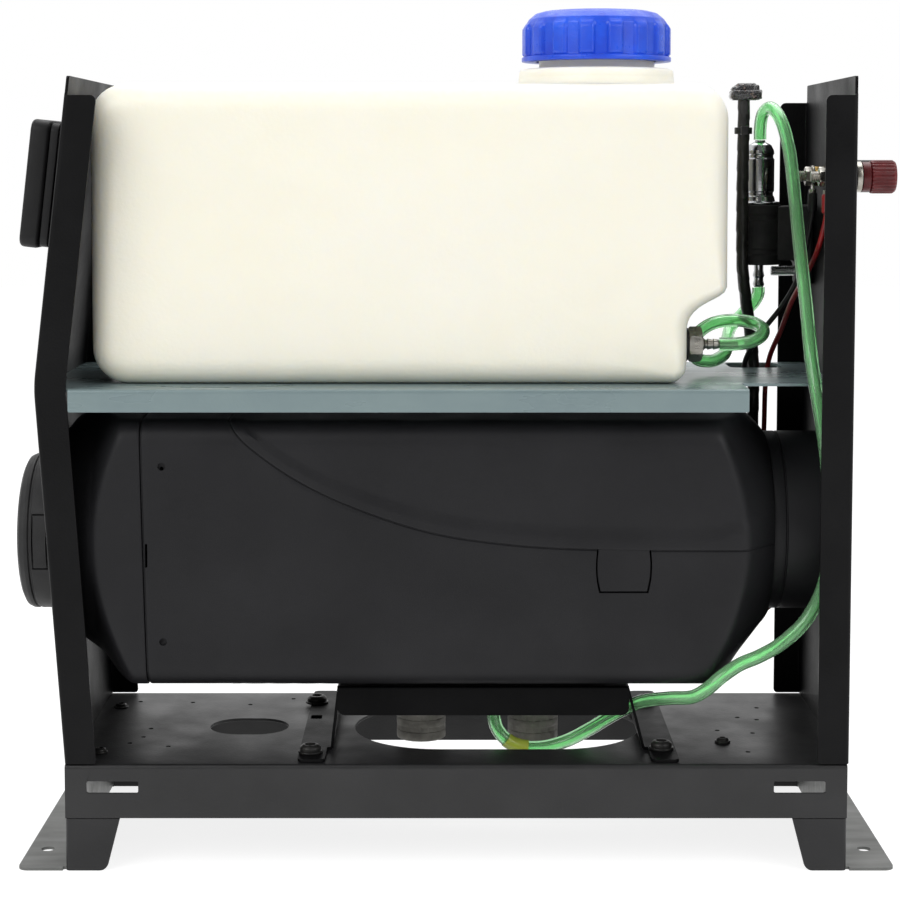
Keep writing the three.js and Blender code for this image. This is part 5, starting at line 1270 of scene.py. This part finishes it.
def crumple(points, size, seed):
    """Pushes points about by up to size: each axis by the product of two sines of the place, of different lengths."""
    x, y, z = (np.asarray(points) * (1.1, 1.3, 1.2)).T + seed
    push = np.stack(
        [
            np.sin(1.3 * y) * np.sin(0.9 * z + x), np.sin(1.1 * z + 2) * np.sin(1.2 * x),
            np.sin(1.4 * x + 1) * np.sin(y + z),
        ],
        1,
    )
    return np.asarray(points) + size * push


wad_parts = []
for low, high, half_x, half_y, dx, dy, seed in (
    (wad_foot, wad_step, 8.5, 6.0, 0, 0, 0.4), (wad_foot + 3, wad_top, 5.7, 4.5, 0, 0, 2.2),
    (wad_foot + 1, wad_top - 1.4, 3.2, 3.6, -4.6, -1.2, 4.4),
    (wad_foot + 1.4, wad_top - 0.6, 2.8, 3.0, 4.9, 1.4, 6.1),
):
    outline = round_corners(
        rectangle(wad_x + dx - half_x, wad_y + dy - half_y, wad_x + dx + half_x, wad_y + dy + half_y), 2.4, 8,
    )
    points, faces = block(outline, "z", low, high, 1.4, 5)
    wad_parts.append((crumple(points, 0.45, seed), faces))
# The tape is black; its pale pink-beige second tone, in scattered patches, is painted highlight standing for glints of
# light on the crumpled tape.
glossy_tape = coated(
    "crumpled_tape_painted_glints", (16, 16, 16), (140, 118, 108), (420, -2.4, 0.9), grain=(300, 0.0016, 5.0), Roughness=0.1,
    Specular_IOR_Level=0.9, Coat_Weight=0.8, Coat_Roughness=0.05,
)
piece("harness_plug_wad", wad_parts, glossy_tape, ["harness_connector"], turn=60)
tie_x, tie_y = 156.3, 37.0
tie_foot, tie_head = 372.2, 375.8
tie_nylon = coated(
    "black_nylon_tie", (22, 22, 23), (34, 34, 34), (200, 0, 1), grain=(1500, 0.00004, 1.0, (0.1, 0.1, 1)),
    Roughness=0.35, Specular_IOR_Level=0.5,
)
tie_lock = round_corners(rectangle(154.2, 29.2, 158.4, 33.1), 0.8)
piece(
    "harness_tie_band",
    [turned(rectangle(3.7, tie_foot, 4.8, tie_head), centre=(tie_x, tie_y), sides=40, radii=0.35),
     block(tie_lock, "z", tie_foot - 0.6, tie_head + 0.6, 0.5)],
    tie_nylon, ["harness_tie"],
)

# ---- Supply posts ---------------------------------------------------------------------------------
# Two binding posts through the right plate. Each has a moulded insulator, a plated stud with two nuts
# and a collar, a plated clamp insert, a ribbed screw cap in the post's colour, and a crimped ring terminal inside.
post_x, post_z = 198.0, 349.5
post_apart = 22.0
knob_ribs = 24
terminal_x = 191.9

post_black = coated(
    "black_post_plastic", (24, 24, 25), (34, 34, 35), (160, 0, 1), (130, 0.28, 0.45), (900, 0.00003),
    Specular_IOR_Level=0.45,
)
post_red = coated(
    "dark_red_post_plastic", (112, 20, 24), (84, 12, 17), (160, 0, 1), (130, 0.3, 0.46), (900, 0.00003),
    Specular_IOR_Level=0.45,
)
post_brass = coated(
    "yellow_brass", (196, 166, 96), (150, 118, 60), (150, 0, 1), (200, 0.2, 0.4),
    (900, 0.00003, 2.0, (0.2, 1, 1)), Metallic=1.0,
)
crimp_sleeves = {"red": red_pvc, "black": black_pvc}


def grip(r, length, turn):
    """The screw cap's radius: rounded ridges along it, outside its collar and short of its end."""
    ridge = 0.28 * np.cos(knob_ribs * turn) * np.clip(
        (length - post_x - 16.0) / 0.6, 0, 1,
    ) * np.clip((post_x + 28.2 - length) / 0.8, 0, 1)
    return np.where(r > 7.9, r - 0.28 + ridge, r)


for post, post_y, post_plastic in (("red", -post_apart, post_red), ("black", post_apart, post_black)):
    at = (post_y, post_z)
    insulator = [
        (3.3, -1.5), (4.4, -1.5), (4.4, 0.3), (8.8, 0.3), (8.8, 2.6), (8.2, 3.1), (8.2, 4.2), (8.8, 4.7), (8.8, 7),
        (7.8, 8), (3.3, 8),
    ]
    piece(
        f"{post}_post_insulator_ring", [turned([(r, post_x + x) for r, x in insulator], "x", at, 48, 0.35)],
        post_black,
        [f"{post}_post_insulator"],
    )
    stud = [
        (0, post_x - 14.5), (2.5, post_x - 14.5), (3.0, post_x - 14.0), (3.0, post_x + 25.3), (2.6, post_x + 25.7),
        (0, post_x + 25.7),
    ]
    stud = turned(stretched(stud, 2, 3, 0.125), "x", at, 20, 0, threaded(3.0, 1.0, 0.4))
    nuts = [
        turned(
            [(2.6, low), (4.8, low), (5.19, low + 0.4), (5.19, high - 0.4), (4.8, high), (2.6, high)], "x", at, 72, 0,
            hexagon(9),
        )
        for low, high in ((post_x - 5.2, post_x - 1.8), (post_x - 10.4, post_x - 7.0))
    ]
    collar = turned(rectangle(2.6, post_x + 8.3, 8, post_x + 11.3), "x", at, 48, 0.4)
    piece(f"{post}_post_stud_thread", [stud, collar], plated_brass, [f"{post}_post_stud"])
    piece(f"{post}_post_outer_nut", nuts[:1], post_brass, edge=0.1)
    piece(f"{post}_post_inner_nut", nuts[1:], plated_brass, edge=0.1)
    insert = rectangle(3.4, post_x + 11.6, 5.2, post_x + 20.6)
    piece(
        f"{post}_post_insert_ring", [turned(insert, "x", at, 40, 0.3)], plated_brass, [f"{post}_post_insert"],
        body=f"{post}_clamp",
    )
    knob = [
        (5.6, 11.6), (7.75, 11.6), (7.75, 15.6), (8.65, 16.2), (8.65, 27.6), (7.7, 28.8), (3.2, 29), (2.6, 28.6),
        (0, 28.6), (0, 26),
        (3.4, 26), (3.4, 21), (5.6, 21),
    ]
    knob = stretched([(r, post_x + x) for r, x in knob], 3, 4, 1.2)
    piece(
        f"{post}_post_knob_cap", [turned(knob, "x", at, 192, 0.25, grip)], post_plastic, [f"{post}_post_knob"],
        body=f"{post}_knob",
    )
    ring = rectangle(3.3, terminal_x - 0.6, 5.8, terminal_x + 0.6)
    tongue = round_corners(
        [
            (post_y - 2.2, post_z - 8.5), (post_y + 2.2, post_z - 8.5), (post_y + 3.4, post_z - 4.4),
            (post_y - 3.4, post_z - 4.4),
        ],
        0.5,
    )
    crimp = turned(rectangle(1.42, post_z - 13.8, 2.0, post_z - 7), "z", (terminal_x, post_y), 28)
    piece(
        f"{post}_terminal_ring",
        [turned(ring, "x", at, 40, 0.15), block(tongue, "x", terminal_x - 0.55, terminal_x + 0.55, 0.2), crimp],
        plated_brass, [f"{post}_terminal"],
    )
    sleeve = [
        (1.45, post_z - 19), (2.1, post_z - 19), (2.55, post_z - 18.2), (2.55, post_z - 9.6), (2.1, post_z - 9),
        (1.45, post_z - 9),
    ]
    piece(
        f"{post}_terminal_sleeve", [turned(sleeve, "z", (terminal_x, post_y), 28, 0.3)], crimp_sleeves[post],
    )

# ---- Controller -----------------------------------------------------------------------------------
# A black plastic box hooked over a bracket on the outside of the left plate. It leans with the plate.
# Its face has a window for the display and four round buttons.
panel_x, panel_z = -198.43, 344.5
panel_lean = 0.118815
panel_half_y, panel_half_z = 50.0, 32.5
window_half_y, window_low, window_high = 36.0, -6.0, 24.0
button_z = -20.0
button_places = (-30, -10, 10, 30)


def leaned(part):
    """Carries a controller part from its own place, where x runs off the plate, to the leaning plate."""
    points, faces = part
    x, y, z = np.asarray(points).T
    c, s = math.cos(panel_lean), math.sin(panel_lean)
    return np.column_stack([panel_x + c * x + s * z, y, panel_z - s * x + c * z]), faces


def round_rect(half_y, low, high, radius, steps=6):
    return round_corners(rectangle(-half_y, low, half_y, high), radius, steps)


shell_plastic = coated(
    "matt_black_abs", (18, 18, 19), (25, 25, 26), (40, 0, 1), (90, 0.42, 0.58), (1400, 0.00003, 2.0),
    Specular_IOR_Level=0.3,
)
face_shell = carve(
    [block(round_rect(panel_half_y, -panel_half_z, panel_half_z, 6), "x", -19.5, -9.3, 2.2)],
    [block(round_rect(panel_half_y - 2, -panel_half_z + 2, panel_half_z - 2, 4), "x", -17.5, -8, 0.5),
     block(round_rect(window_half_y, window_low, window_high, 2), "x", -21, -16, 0.1),
     *[turned(rectangle(0, -21, 5.3, -16), "x", (y, button_z), 32, 0) for y in button_places]],
)
piece("controller_front_shell", [leaned(face_shell)], shell_plastic, ["controller_front"], edge=0.15)
back_shell = carve(
    [block(round_rect(panel_half_y - 1, -panel_half_z + 1, panel_half_z - 1, 5), "x", -9.2, -5, 0.6)],
    [block(round_rect(panel_half_y - 3, -panel_half_z + 3, panel_half_z - 3, 3), "x", -10, -6.6, 0.2)],
)
hook = block(round_rect(8, 10, 37, 2), "x", -8, -5.2, 0.6)
piece("controller_back_shell", [leaned(back_shell), leaned(hook)], shell_plastic, ["controller_back"], edge=0.15)



def dress(material, *nodes):
    """Gives solids of the CAD that are shown as they are their material."""
    for name in nodes:
        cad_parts[name].data.materials.clear()
        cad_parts[name].data.materials.append(material)


dress(black_steel, "controller_bracket")
display_glass = coated(
    "dark_display_window", (14, 20, 24), (22, 30, 34), (30, 0, 1), grain=(200, 0.00001), Roughness=0.08,
    Specular_IOR_Level=0.6, Coat_Weight=0.6, Coat_Roughness=0.04,
)
dress(display_glass, "controller_display")
button_rubber = coated(
    "grey_button_rubber", (74, 76, 78), (62, 64, 66), (120, 0, 1), (200, 0.5, 0.66), (1600, 0.00003),
    Specular_IOR_Level=0.35,
)
for number, y in enumerate(button_places, 1):
    button = [
        (0, -20.6), (3.9, -20.6), (4.7, -20.1), (5.0, -19.4), (5.0, -17.2), (6.4, -17.2), (6.4, -16.2), (0, -16.2),
    ]
    piece(
        f"controller_button_{number}_cap",
        [leaned(turned(button, "x", (y, button_z), 40, [0, 1.2, 0.6, 0.2, 0, 0.2, 0.2, 0]))],
        button_rubber, [f"controller_button_{number}"], body=f"button_{number}",
    )

# ---- Warm-air outlet ------------------------------------------------------------------------------
# A round duct ring of matt plastic on the left plate, with a slit at its front edge, and inside it a
# louvre with five slanted blades that turns.
ring_z = 161.3
ring_profile = [
    (34.4, -226), (35.4, -227), (37, -227), (39.8, -225.6), (41, -223), (41, -221.2), (40.3, -220.6), (40.3, -219.8),
    (41, -219.2),
    (41, -198.5), (36.4, -198.5), (34.4, -198.5),
]

vent_plastic = coated(
    "vent_black_plastic", (42, 42, 43), (52, 52, 52), (50, 0, 1), (90, 0.45, 0.62), (1300, 0.00003, 2.0),
    Specular_IOR_Level=0.25,
)
ring_points, ring_faces = turned(
    ring_profile, "x", (0, ring_z), 96, [0.4, 0.5, 1, 1.5, 1.2, 0.3, 0.3, 0.3, 0.3, 0, 0, 0], steps=4,
)
away = np.hypot(ring_points[:, 1], ring_points[:, 2] - ring_z) > 36.5
ring_points[:, 0] = np.where(
    away, np.minimum(ring_points[:, 0], left_face(ring_points[:, 2]) - 0.3), ring_points[:, 0],
)
slit = [
    block(rectangle(x0, 147, x1, 176), "y", -43, -38.2, 0.01, 1) for x0, x1 in ((-219.0, -218.2), (-211.6, -210.8))
]
slit += [
    block(rectangle(-219.0, z0, -210.8, z1), "y", -43, -36.5, 0.01, 1) for z0, z1 in ((147, 147.8), (175.2, 176))
]
piece("vent_ring_duct", [carve([(ring_points, ring_faces)], slit)], vent_plastic, ["vent_ring"], turn=28)
dress(vent_plastic, "vent_louvre")

# ---- Heater casing --------------------------------------------------------------------------------
# Three black plastic mouldings, 2.2 mm thick: the outlet hood at the left, the lower shell, and the
# upper shell, which sinks behind a flat band that follows the long curved joint. A barrel-shaped tab of
# the upper shell clips into the lower one at the front and the back.
casing_half = 69.0
casing_foot, casing_top = 92.0, 228.0
casing_corner = 12.0
casing_wall = 2.2
casing_swell = 1.0
casing_middle = (0, 160)
casing_flat = (57, 56)  # half sizes of the flat faces, which swell
casing_face = 50  # what is further from the middle than this is a face
heater_z = 165.0
cone_x = (-206.5, -200.5, -183.5, -161.1, 125.2, 147.6, 163.0)
cone_radius = (49.5, 57.0, 69.0, 101.0, 101.0, 69.0, 50.0)
cone_blend = 1.6
hood_seam = (-159.1, -156.1)  # at the top and at the bottom
seam_foot, seam_height = 87.0, 146.0
seam_lean_end = -120.0  # where the shells' grid stands upright again
hood_plate_room, hood_left_end = 1.9, -206.4
hood_bore, shell_bore = 43.5, 44.0  # the inner faces come no nearer to the axis
seam_gap = 0.45
seam_round = 0.8
joint_points = (
    (-118, 234), (-110.3, 221.4), (-95.8, 208.8), (-78.7, 197.5), (-56.5, 186.5), (-13.3, 171.9), (30.4, 165.3),
    (73.7, 163), (110, 162.6), (168, 162.6),
)
joint_top = 227.2  # where the joint leaves the corner for the straight line across the top
band_width = 6.5
band_step = 1.2
tab_left, tab_right, tab_top, tab_foot = 71.7, 97.0, 162.0, 141.7
clip_places = ((-149.6, 205.0), (-149.6, 116.0))
clip_size = 4.0
opening_left, opening_right, opening_half = -40.0, 62.0, 34.0

casing_plastic = coated(
    "matt_black_nylon", (26, 26, 28), (32, 32, 34), (18, 0, 1, 4.0), (30, 0.42, 0.54, 4.0), Specular_IOR_Level=0.22,
)
casing_flow = relief(casing_plastic, mottle(casing_plastic, 22, 0, 1, 2.0), 0.0002)
relief(casing_plastic, mottle(casing_plastic, 1500, 0, 1, 2.0), 0.00003, casing_flow)

section = even_loop(round_rect(casing_half, casing_foot, casing_top, casing_corner, 12), 720)
from_middle = section - casing_middle
swell = 1 - np.clip(np.abs(from_middle) / casing_flat, 0, 1) ** 2
section += casing_swell * np.sign(from_middle) * swell[:, ::-1] * (np.abs(from_middle) > casing_face)
section_turn = np.unwrap(np.arctan2(section[:, 1] - heater_z, section[:, 0]))
section_radius = np.hypot(section[:, 0], section[:, 1] - heater_z)
section_order = np.argsort(section_turn % (2 * np.pi))
joint_line = route([(x, 0, z) for x, z in joint_points], 400)[:, [0, 2]]


def casing_radius(x, turn):
    """The casing's distance from the heater's axis: the soft lesser of the block's radius at that angle and the cones' at
    that length, -k log(exp(-a/k) + exp(-b/k))."""
    a = np.interp(
        turn % (2 * np.pi), (section_turn % (2 * np.pi))[section_order], section_radius[section_order],
        period=2 * np.pi,
    )
    b = np.interp(x, cone_x, cone_radius)
    lesser = np.minimum(a, b)
    return lesser - cone_blend * np.log(np.exp((lesser - a) / cone_blend) + np.exp((lesser - b) / cone_blend))


def casing_place(x, turn, inset):
    r = casing_radius(x, turn) - inset
    return np.stack([x, r * np.cos(turn), heater_z + r * np.sin(turn)], -1)


def joint_turn(x):
    """The angle at the back at which the joint crosses each length: the place where the casing's height meets the curve."""
    height = np.minimum(np.interp(x, joint_line[:, 0], joint_line[:, 1]), joint_top)
    turn = np.linspace(-0.6, 1.2, 500)
    up = heater_z + casing_radius(x[:, None], turn[None, :]) * np.sin(turn)
    return np.array([np.interp(h, row, turn) for h, row in zip(height, up)])


def rolled(near):
    """How far a moulding's face has curved in at a distance from its seam: a quarter circle."""
    left = np.clip(1 - near / seam_round, 0, 1)
    return seam_round * (1 - np.sqrt(1 - left**2))


def moulding(outer, inner, kept):
    """A closed shell over the kept cells of two grids of the same size: the outer cells, the inner ones turned over, and a
    wall along every edge that has a kept cell on one side only. The grids close on themselves round the axis."""
    rows, places = outer.shape[:2]
    i, j = np.meshgrid(np.arange(rows - 1), np.arange(places), indexing="ij")
    j2 = (j + 1) % places
    cell = np.stack([i * places + j, i * places + j2, (i + 1) * places + j2, (i + 1) * places + j], -1)
    count = rows * places
    faces = [cell[kept], cell[kept][:, ::-1] + count]
    padded = np.zeros((rows + 1, places), bool)
    padded[1:-1] = kept
    for own, other, a, b in (
        (padded[1:-1], padded[:-2], 0, 1), (padded[1:-1], padded[2:], 2, 3), (kept, np.roll(kept, 1, 1), 3, 0),
        (kept, np.roll(kept, -1, 1), 1, 2),
    ):
        rim = cell[own & ~other]
        faces.append(np.stack([rim[:, b], rim[:, a], rim[:, a] + count, rim[:, b] + count], 1))
    return np.vstack([outer.reshape(-1, 3), inner.reshape(-1, 3)]), np.vstack(faces).tolist()


def seam_steps(length, steps, start=True, end=True):
    """Shares of a length that stand close at its seams and evenly between them."""
    fine = np.array([0, 0.1, 0.25, 0.5, 0.8, 1.3]) / length
    tail = 1 - fine[::-1]
    return np.concatenate([fine if start else [0], np.linspace(fine[-1], tail[0], steps)[1:-1], tail if end else [1]])


# the hood, from the plane beside the left plate to the seam
hood_turn = np.linspace(0, 2 * np.pi, 240, endpoint=False)[None, :]
hood_share = seam_steps(50, 34, start=False)[:, None]
hood_x = np.full((len(hood_share), hood_turn.shape[1]), -180.0)
for _ in range(4):
    hood_height = heater_z + casing_radius(hood_x, hood_turn) * np.sin(hood_turn)
    hood_left = np.maximum(left_face(hood_height) + hood_plate_room, hood_left_end)
    hood_right = hood_seam[1] + (hood_seam[0] - hood_seam[1]) * (hood_height - seam_foot) / seam_height
    hood_x = hood_left + hood_share * (hood_right - hood_left)
hood_outer = casing_place(hood_x, hood_turn, rolled(hood_right - hood_x))
hood_inner = casing_place(hood_x, hood_turn, np.minimum(casing_wall, casing_radius(hood_x, hood_turn) - hood_bore))
hood_cells = np.ones((len(hood_share) - 1, hood_turn.shape[1]), bool)
piece(
    "outlet_hood_moulding", [moulding(hood_outer, hood_inner, hood_cells)], casing_plastic, ["outlet_hood"], turn=40,
)

# the two shells, on one grid whose lines follow the joint
joint_start = float(np.interp(-joint_top, -joint_line[:, 1], joint_line[:, 0]))
left_x, right_x = hood_seam[1] + seam_gap, 162.9
before = left_x + (joint_start - left_x) * seam_steps(joint_start - left_x, 14)
after = joint_start + (right_x - joint_start) * seam_steps(right_x - joint_start, 110)
shell_x = np.concatenate([before, after[1:]])
split = len(before) - 1
back_turn = joint_turn(shell_x)
upper_share, lower_share = seam_steps(190, 80), seam_steps(340, 130)
upper_turn = back_turn[:, None] + (np.pi - 2 * back_turn[:, None]) * upper_share
lower_turn = np.pi - back_turn[:, None] + (np.pi + 2 * back_turn[:, None]) * lower_share
shell_turn = np.hstack([upper_turn, lower_turn[:, 1:-1]])
upper_places = len(upper_share)
shell_grid_x = np.repeat(shell_x[:, None], shell_turn.shape[1], 1)
lean = (hood_seam[0] - hood_seam[1]) / seam_height * (
    heater_z + casing_radius(shell_grid_x, shell_turn) * np.sin(shell_turn) - seam_foot
)
shell_grid_x = shell_grid_x + lean * np.clip((seam_lean_end - shell_x) / (seam_lean_end - left_x), 0, 1)[:, None]
bare = casing_place(shell_grid_x, shell_turn, 0)
step_round = np.linalg.norm(np.diff(bare, axis=1, append=bare[:, :1]), axis=2)
round_from_back = np.concatenate([np.zeros((len(shell_x), 1)), np.cumsum(step_round, 1)[:, :-1]], 1)
front_place = round_from_back[:, upper_places - 1 : upper_places]
whole_round = step_round.sum(1)[:, None]
to_joint = np.minimum(
    np.abs(round_from_back - front_place), np.minimum(round_from_back, whole_round - round_from_back),
)
along_x = shell_grid_x - joint_start
cells = np.zeros((len(shell_x) - 1, shell_turn.shape[1]), bool)
cells[split:, : upper_places - 1] = True

near_upper = np.minimum(to_joint, np.maximum(along_x, 0))
band_here = band_width + 8.0 * np.clip((shell_grid_x - 128) / 24, 0, 1)
ramp = np.clip((near_upper - band_here) / 1.5, 0, 1)
sunk = band_step * ramp * ramp * (3 - 2 * ramp) * np.clip((158 - shell_grid_x) / 3, 0, 1)
upper_outer = casing_place(shell_grid_x, shell_turn, rolled(near_upper) + sunk)
upper_inner = casing_place(
    shell_grid_x, shell_turn, np.minimum(casing_wall + sunk, casing_radius(shell_grid_x, shell_turn) - shell_bore),
)
upper_shell = moulding(upper_outer, upper_inner, cells)

over_top = np.zeros(shell_turn.shape[1], bool)
over_top[:upper_places] = True
near_lower = np.where(along_x >= 0, to_joint, np.where(over_top[None, :], -along_x, np.hypot(to_joint, along_x)))
left_rim = shell_grid_x - shell_grid_x[:1]
near_lower = np.minimum(near_lower, left_rim) - seam_gap
lower_outer = casing_place(shell_grid_x, shell_turn, rolled(np.maximum(near_lower, 0)))
lower_inner = casing_place(
    shell_grid_x, shell_turn, np.minimum(casing_wall, casing_radius(shell_grid_x, shell_turn) - shell_bore),
)
lower_shell = moulding(lower_outer, lower_inner, ~cells)


def latch_outline(margin):
    """The tab's outline: two upright sides that bulge by 2 mm, a straight foot, and an open top above the joint."""
    middle = (tab_top + tab_foot) / 2
    t = np.linspace(0, 1, 12)[:, None]
    right = np.array(
        [
            (tab_right + margin, tab_top + 2), (tab_right + margin + 2, middle),
            (tab_right + margin - 1, tab_foot - margin),
        ]
    )
    left = np.array(
        [
            (tab_left - margin + 1, tab_foot - margin), (tab_left - margin - 2, middle),
            (tab_left - margin, tab_top + 2),
        ]
    )
    curve = [(1 - t) ** 2 * p[0] + 2 * (1 - t) * t * p[1] + t**2 * p[2] for p in (right, left)]
    return np.vstack(curve)


cutters, tabs = [], []
for face in (-1, 1):
    low, high = sorted((face * 72, face * 60))
    cutters.append(block(latch_outline(0.7), "y", low, high, 0.01, 1))
    low, high = sorted((face * (casing_half + casing_swell - 0.4), face * (casing_half - casing_wall)))
    tabs.append(block(latch_outline(0.0), "y", low, high, 0.5, 3))
    low, high = sorted((face * 72, face * (casing_half - 1.4)))
    for x, z in clip_places:
        cutters.append(block(oval(x + 2, z, clip_size, clip_size, 8), "y", low, high, 0.01, 1))
    cutters.append(block(rectangle(-156.2, 154, -155.0, 166), "y", low, high, 0.01, 1))
floor_opening = round_corners(rectangle(opening_left, -opening_half, opening_right, opening_half), 4)
cutters.append(block(floor_opening, "z", 85, 99, 0.01, 1))
gland_y, gland_z, gland_radius = 42.5, 103.0, 8.0
cutters.append(turned(rectangle(0, 125, gland_radius + 0.3, 166), "x", (gland_y, gland_z), 32, 0))
piece("heater_lower_moulding", [carve([lower_shell], cutters)], casing_plastic, ["heater_lower_casing"], turn=40)
piece("heater_upper_moulding", [upper_shell, *tabs], casing_plastic, ["heater_upper_casing"], turn=40)

# ---- Inlet collar and grille ----------------------------------------------------------------------
# The grille's end of the heater is joined to the right plate by a short plastic collar with a groove.
collar_z = 167.2
collar_left, collar_right = 163.3, 196.2
collar_outside, collar_bore = 47.15, 44.15
collar = [
    (collar_bore, collar_left), (collar_outside, collar_left), (collar_outside, 169.3), (collar_outside - 1, 169.6),
    (collar_outside - 1, 170.2),
    (collar_outside, 170.5), (collar_outside, 190), (collar_outside, 194), (collar_outside, collar_right),
    (collar_bore, collar_right),
]
piece("inlet_collar_ring", [turned(collar, "x", (0, collar_z), 96, 0.3)], casing_plastic, ["inlet_collar"])

grille_left, grille_right = 159.5, 162.5
grille_rings = ((0, 9, 0.9), (26.35 - 0.75, 26.35 + 0.75, 0.5), (40.7, 43.7, 0.5))
grille_parts = []
for inner_radius, outer_radius, soft in grille_rings:
    profile = rectangle(inner_radius, grille_left, outer_radius, grille_right)
    grille_parts.append(turned(profile, "x", (0, heater_z), 96, soft if inner_radius else [0, soft, soft, 0]))
for spoke in range(6):
    angle = math.radians(30 + 60 * spoke)
    way, side = np.array([math.cos(angle), math.sin(angle)]), np.array([-math.sin(angle), math.cos(angle)])
    corners = np.array([8 * way - side, 42 * way - side, 42 * way + side, 8 * way + side]) + (0, heater_z)
    grille_parts.append(block(round_corners(corners, 0.2, 2), "x", grille_left + 0.15, grille_right - 0.15, 0.4, 3))
piece("inlet_grille_web", grille_parts, casing_plastic, ["inlet_grille"])
gland_profile = [
    (0, 132.3), (gland_radius, 132.3), (gland_radius, 146), (gland_radius - 0.8, 146.8), (gland_radius - 0.8, 148.4),
    (gland_radius, 149.2), (gland_radius, 150), (5.6, 152), (0, 152),
]
piece(
    "wiring_gland_boot",
    [turned(gland_profile, "x", (gland_y, gland_z), 48, [0, 0.4, 0.3, 0.3, 0.3, 0.3, 0.5, 1.2, 0])], rubber,
    ["wiring_gland"],
)

# ---- Heater's inner parts -------------------------------------------------------------------------
# Cast aluminium heat exchanger and fan housing with their two pipes, the motor and its wheels, the
# burner, glow plug and control unit. The solids have the right shape, and take these finishes.
cast_grey = (146, 144, 136)
pipe_top = 86.0
pipe_foot = 49.5


def cast_metal(name, tone, dark, per_metre=260, metal=0.75):
    """Sand-cast or oxidised metal: grains of relief, and patches of a darker tone."""
    return coated(
        name, tone, dark, (70, 0, 1, 5.0), (120, 0.42, 0.68, 4.0), (per_metre, 0.0002, 5.0), Metallic=metal,
        Specular_IOR_Level=0.5,
    )


cast_aluminium = cast_metal("cast_aluminium", cast_grey, (104, 102, 96), 260, 0.35)
for name, x, radius, bore in (
    ("exhaust_pipe_end", exhaust_hole[0], 13.1, 11.0), ("air_pipe_end", intake_hole[0], 13.45, 11.4),
):
    pipe = [
        (bore - 0.1, pipe_foot), (radius - 0.5, pipe_foot), (radius, pipe_foot + 0.8), (radius, 54),
        (radius - 0.7, 54.7), (radius - 0.7, 56.2),
        (radius, 57), (radius, 60.5), (radius - 0.7, 61.2), (radius - 0.7, 62.7), (radius, 63.5), (radius, pipe_top),
        (bore - 0.1, pipe_top),
    ]
    piece(name, [turned(pipe, centre=(x, 0), sides=64, radii=0.25)], cast_aluminium)
heat_steel = cast_metal("heat_stained_steel", (122, 110, 96), (82, 76, 74), 500)
wheel_plastic = cast_metal("dark_wheel_plastic", (38, 38, 40), (48, 48, 50), 900, 0.0)
ground_steel = brushed_zinc("ground_steel", (168, 168, 166), 0.18, 0.3, 1.0)
gasket_fibre = cast_metal("grey_gasket_fibre", (92, 92, 88), (72, 72, 70), 700, 0.0)
dress(cast_aluminium, "heat_exchanger", "fan_housing")
dress(heat_steel, "burner", "glow_plug", "combustion_wheel")
dress(wheel_plastic, "blower_wheel", "control_unit")
dress(ground_steel, "motor", "rotor_shaft", "pump_piston", "pump_spring")
dress(gasket_fibre, "base_gasket")
dress(rubber, "cap_seal")
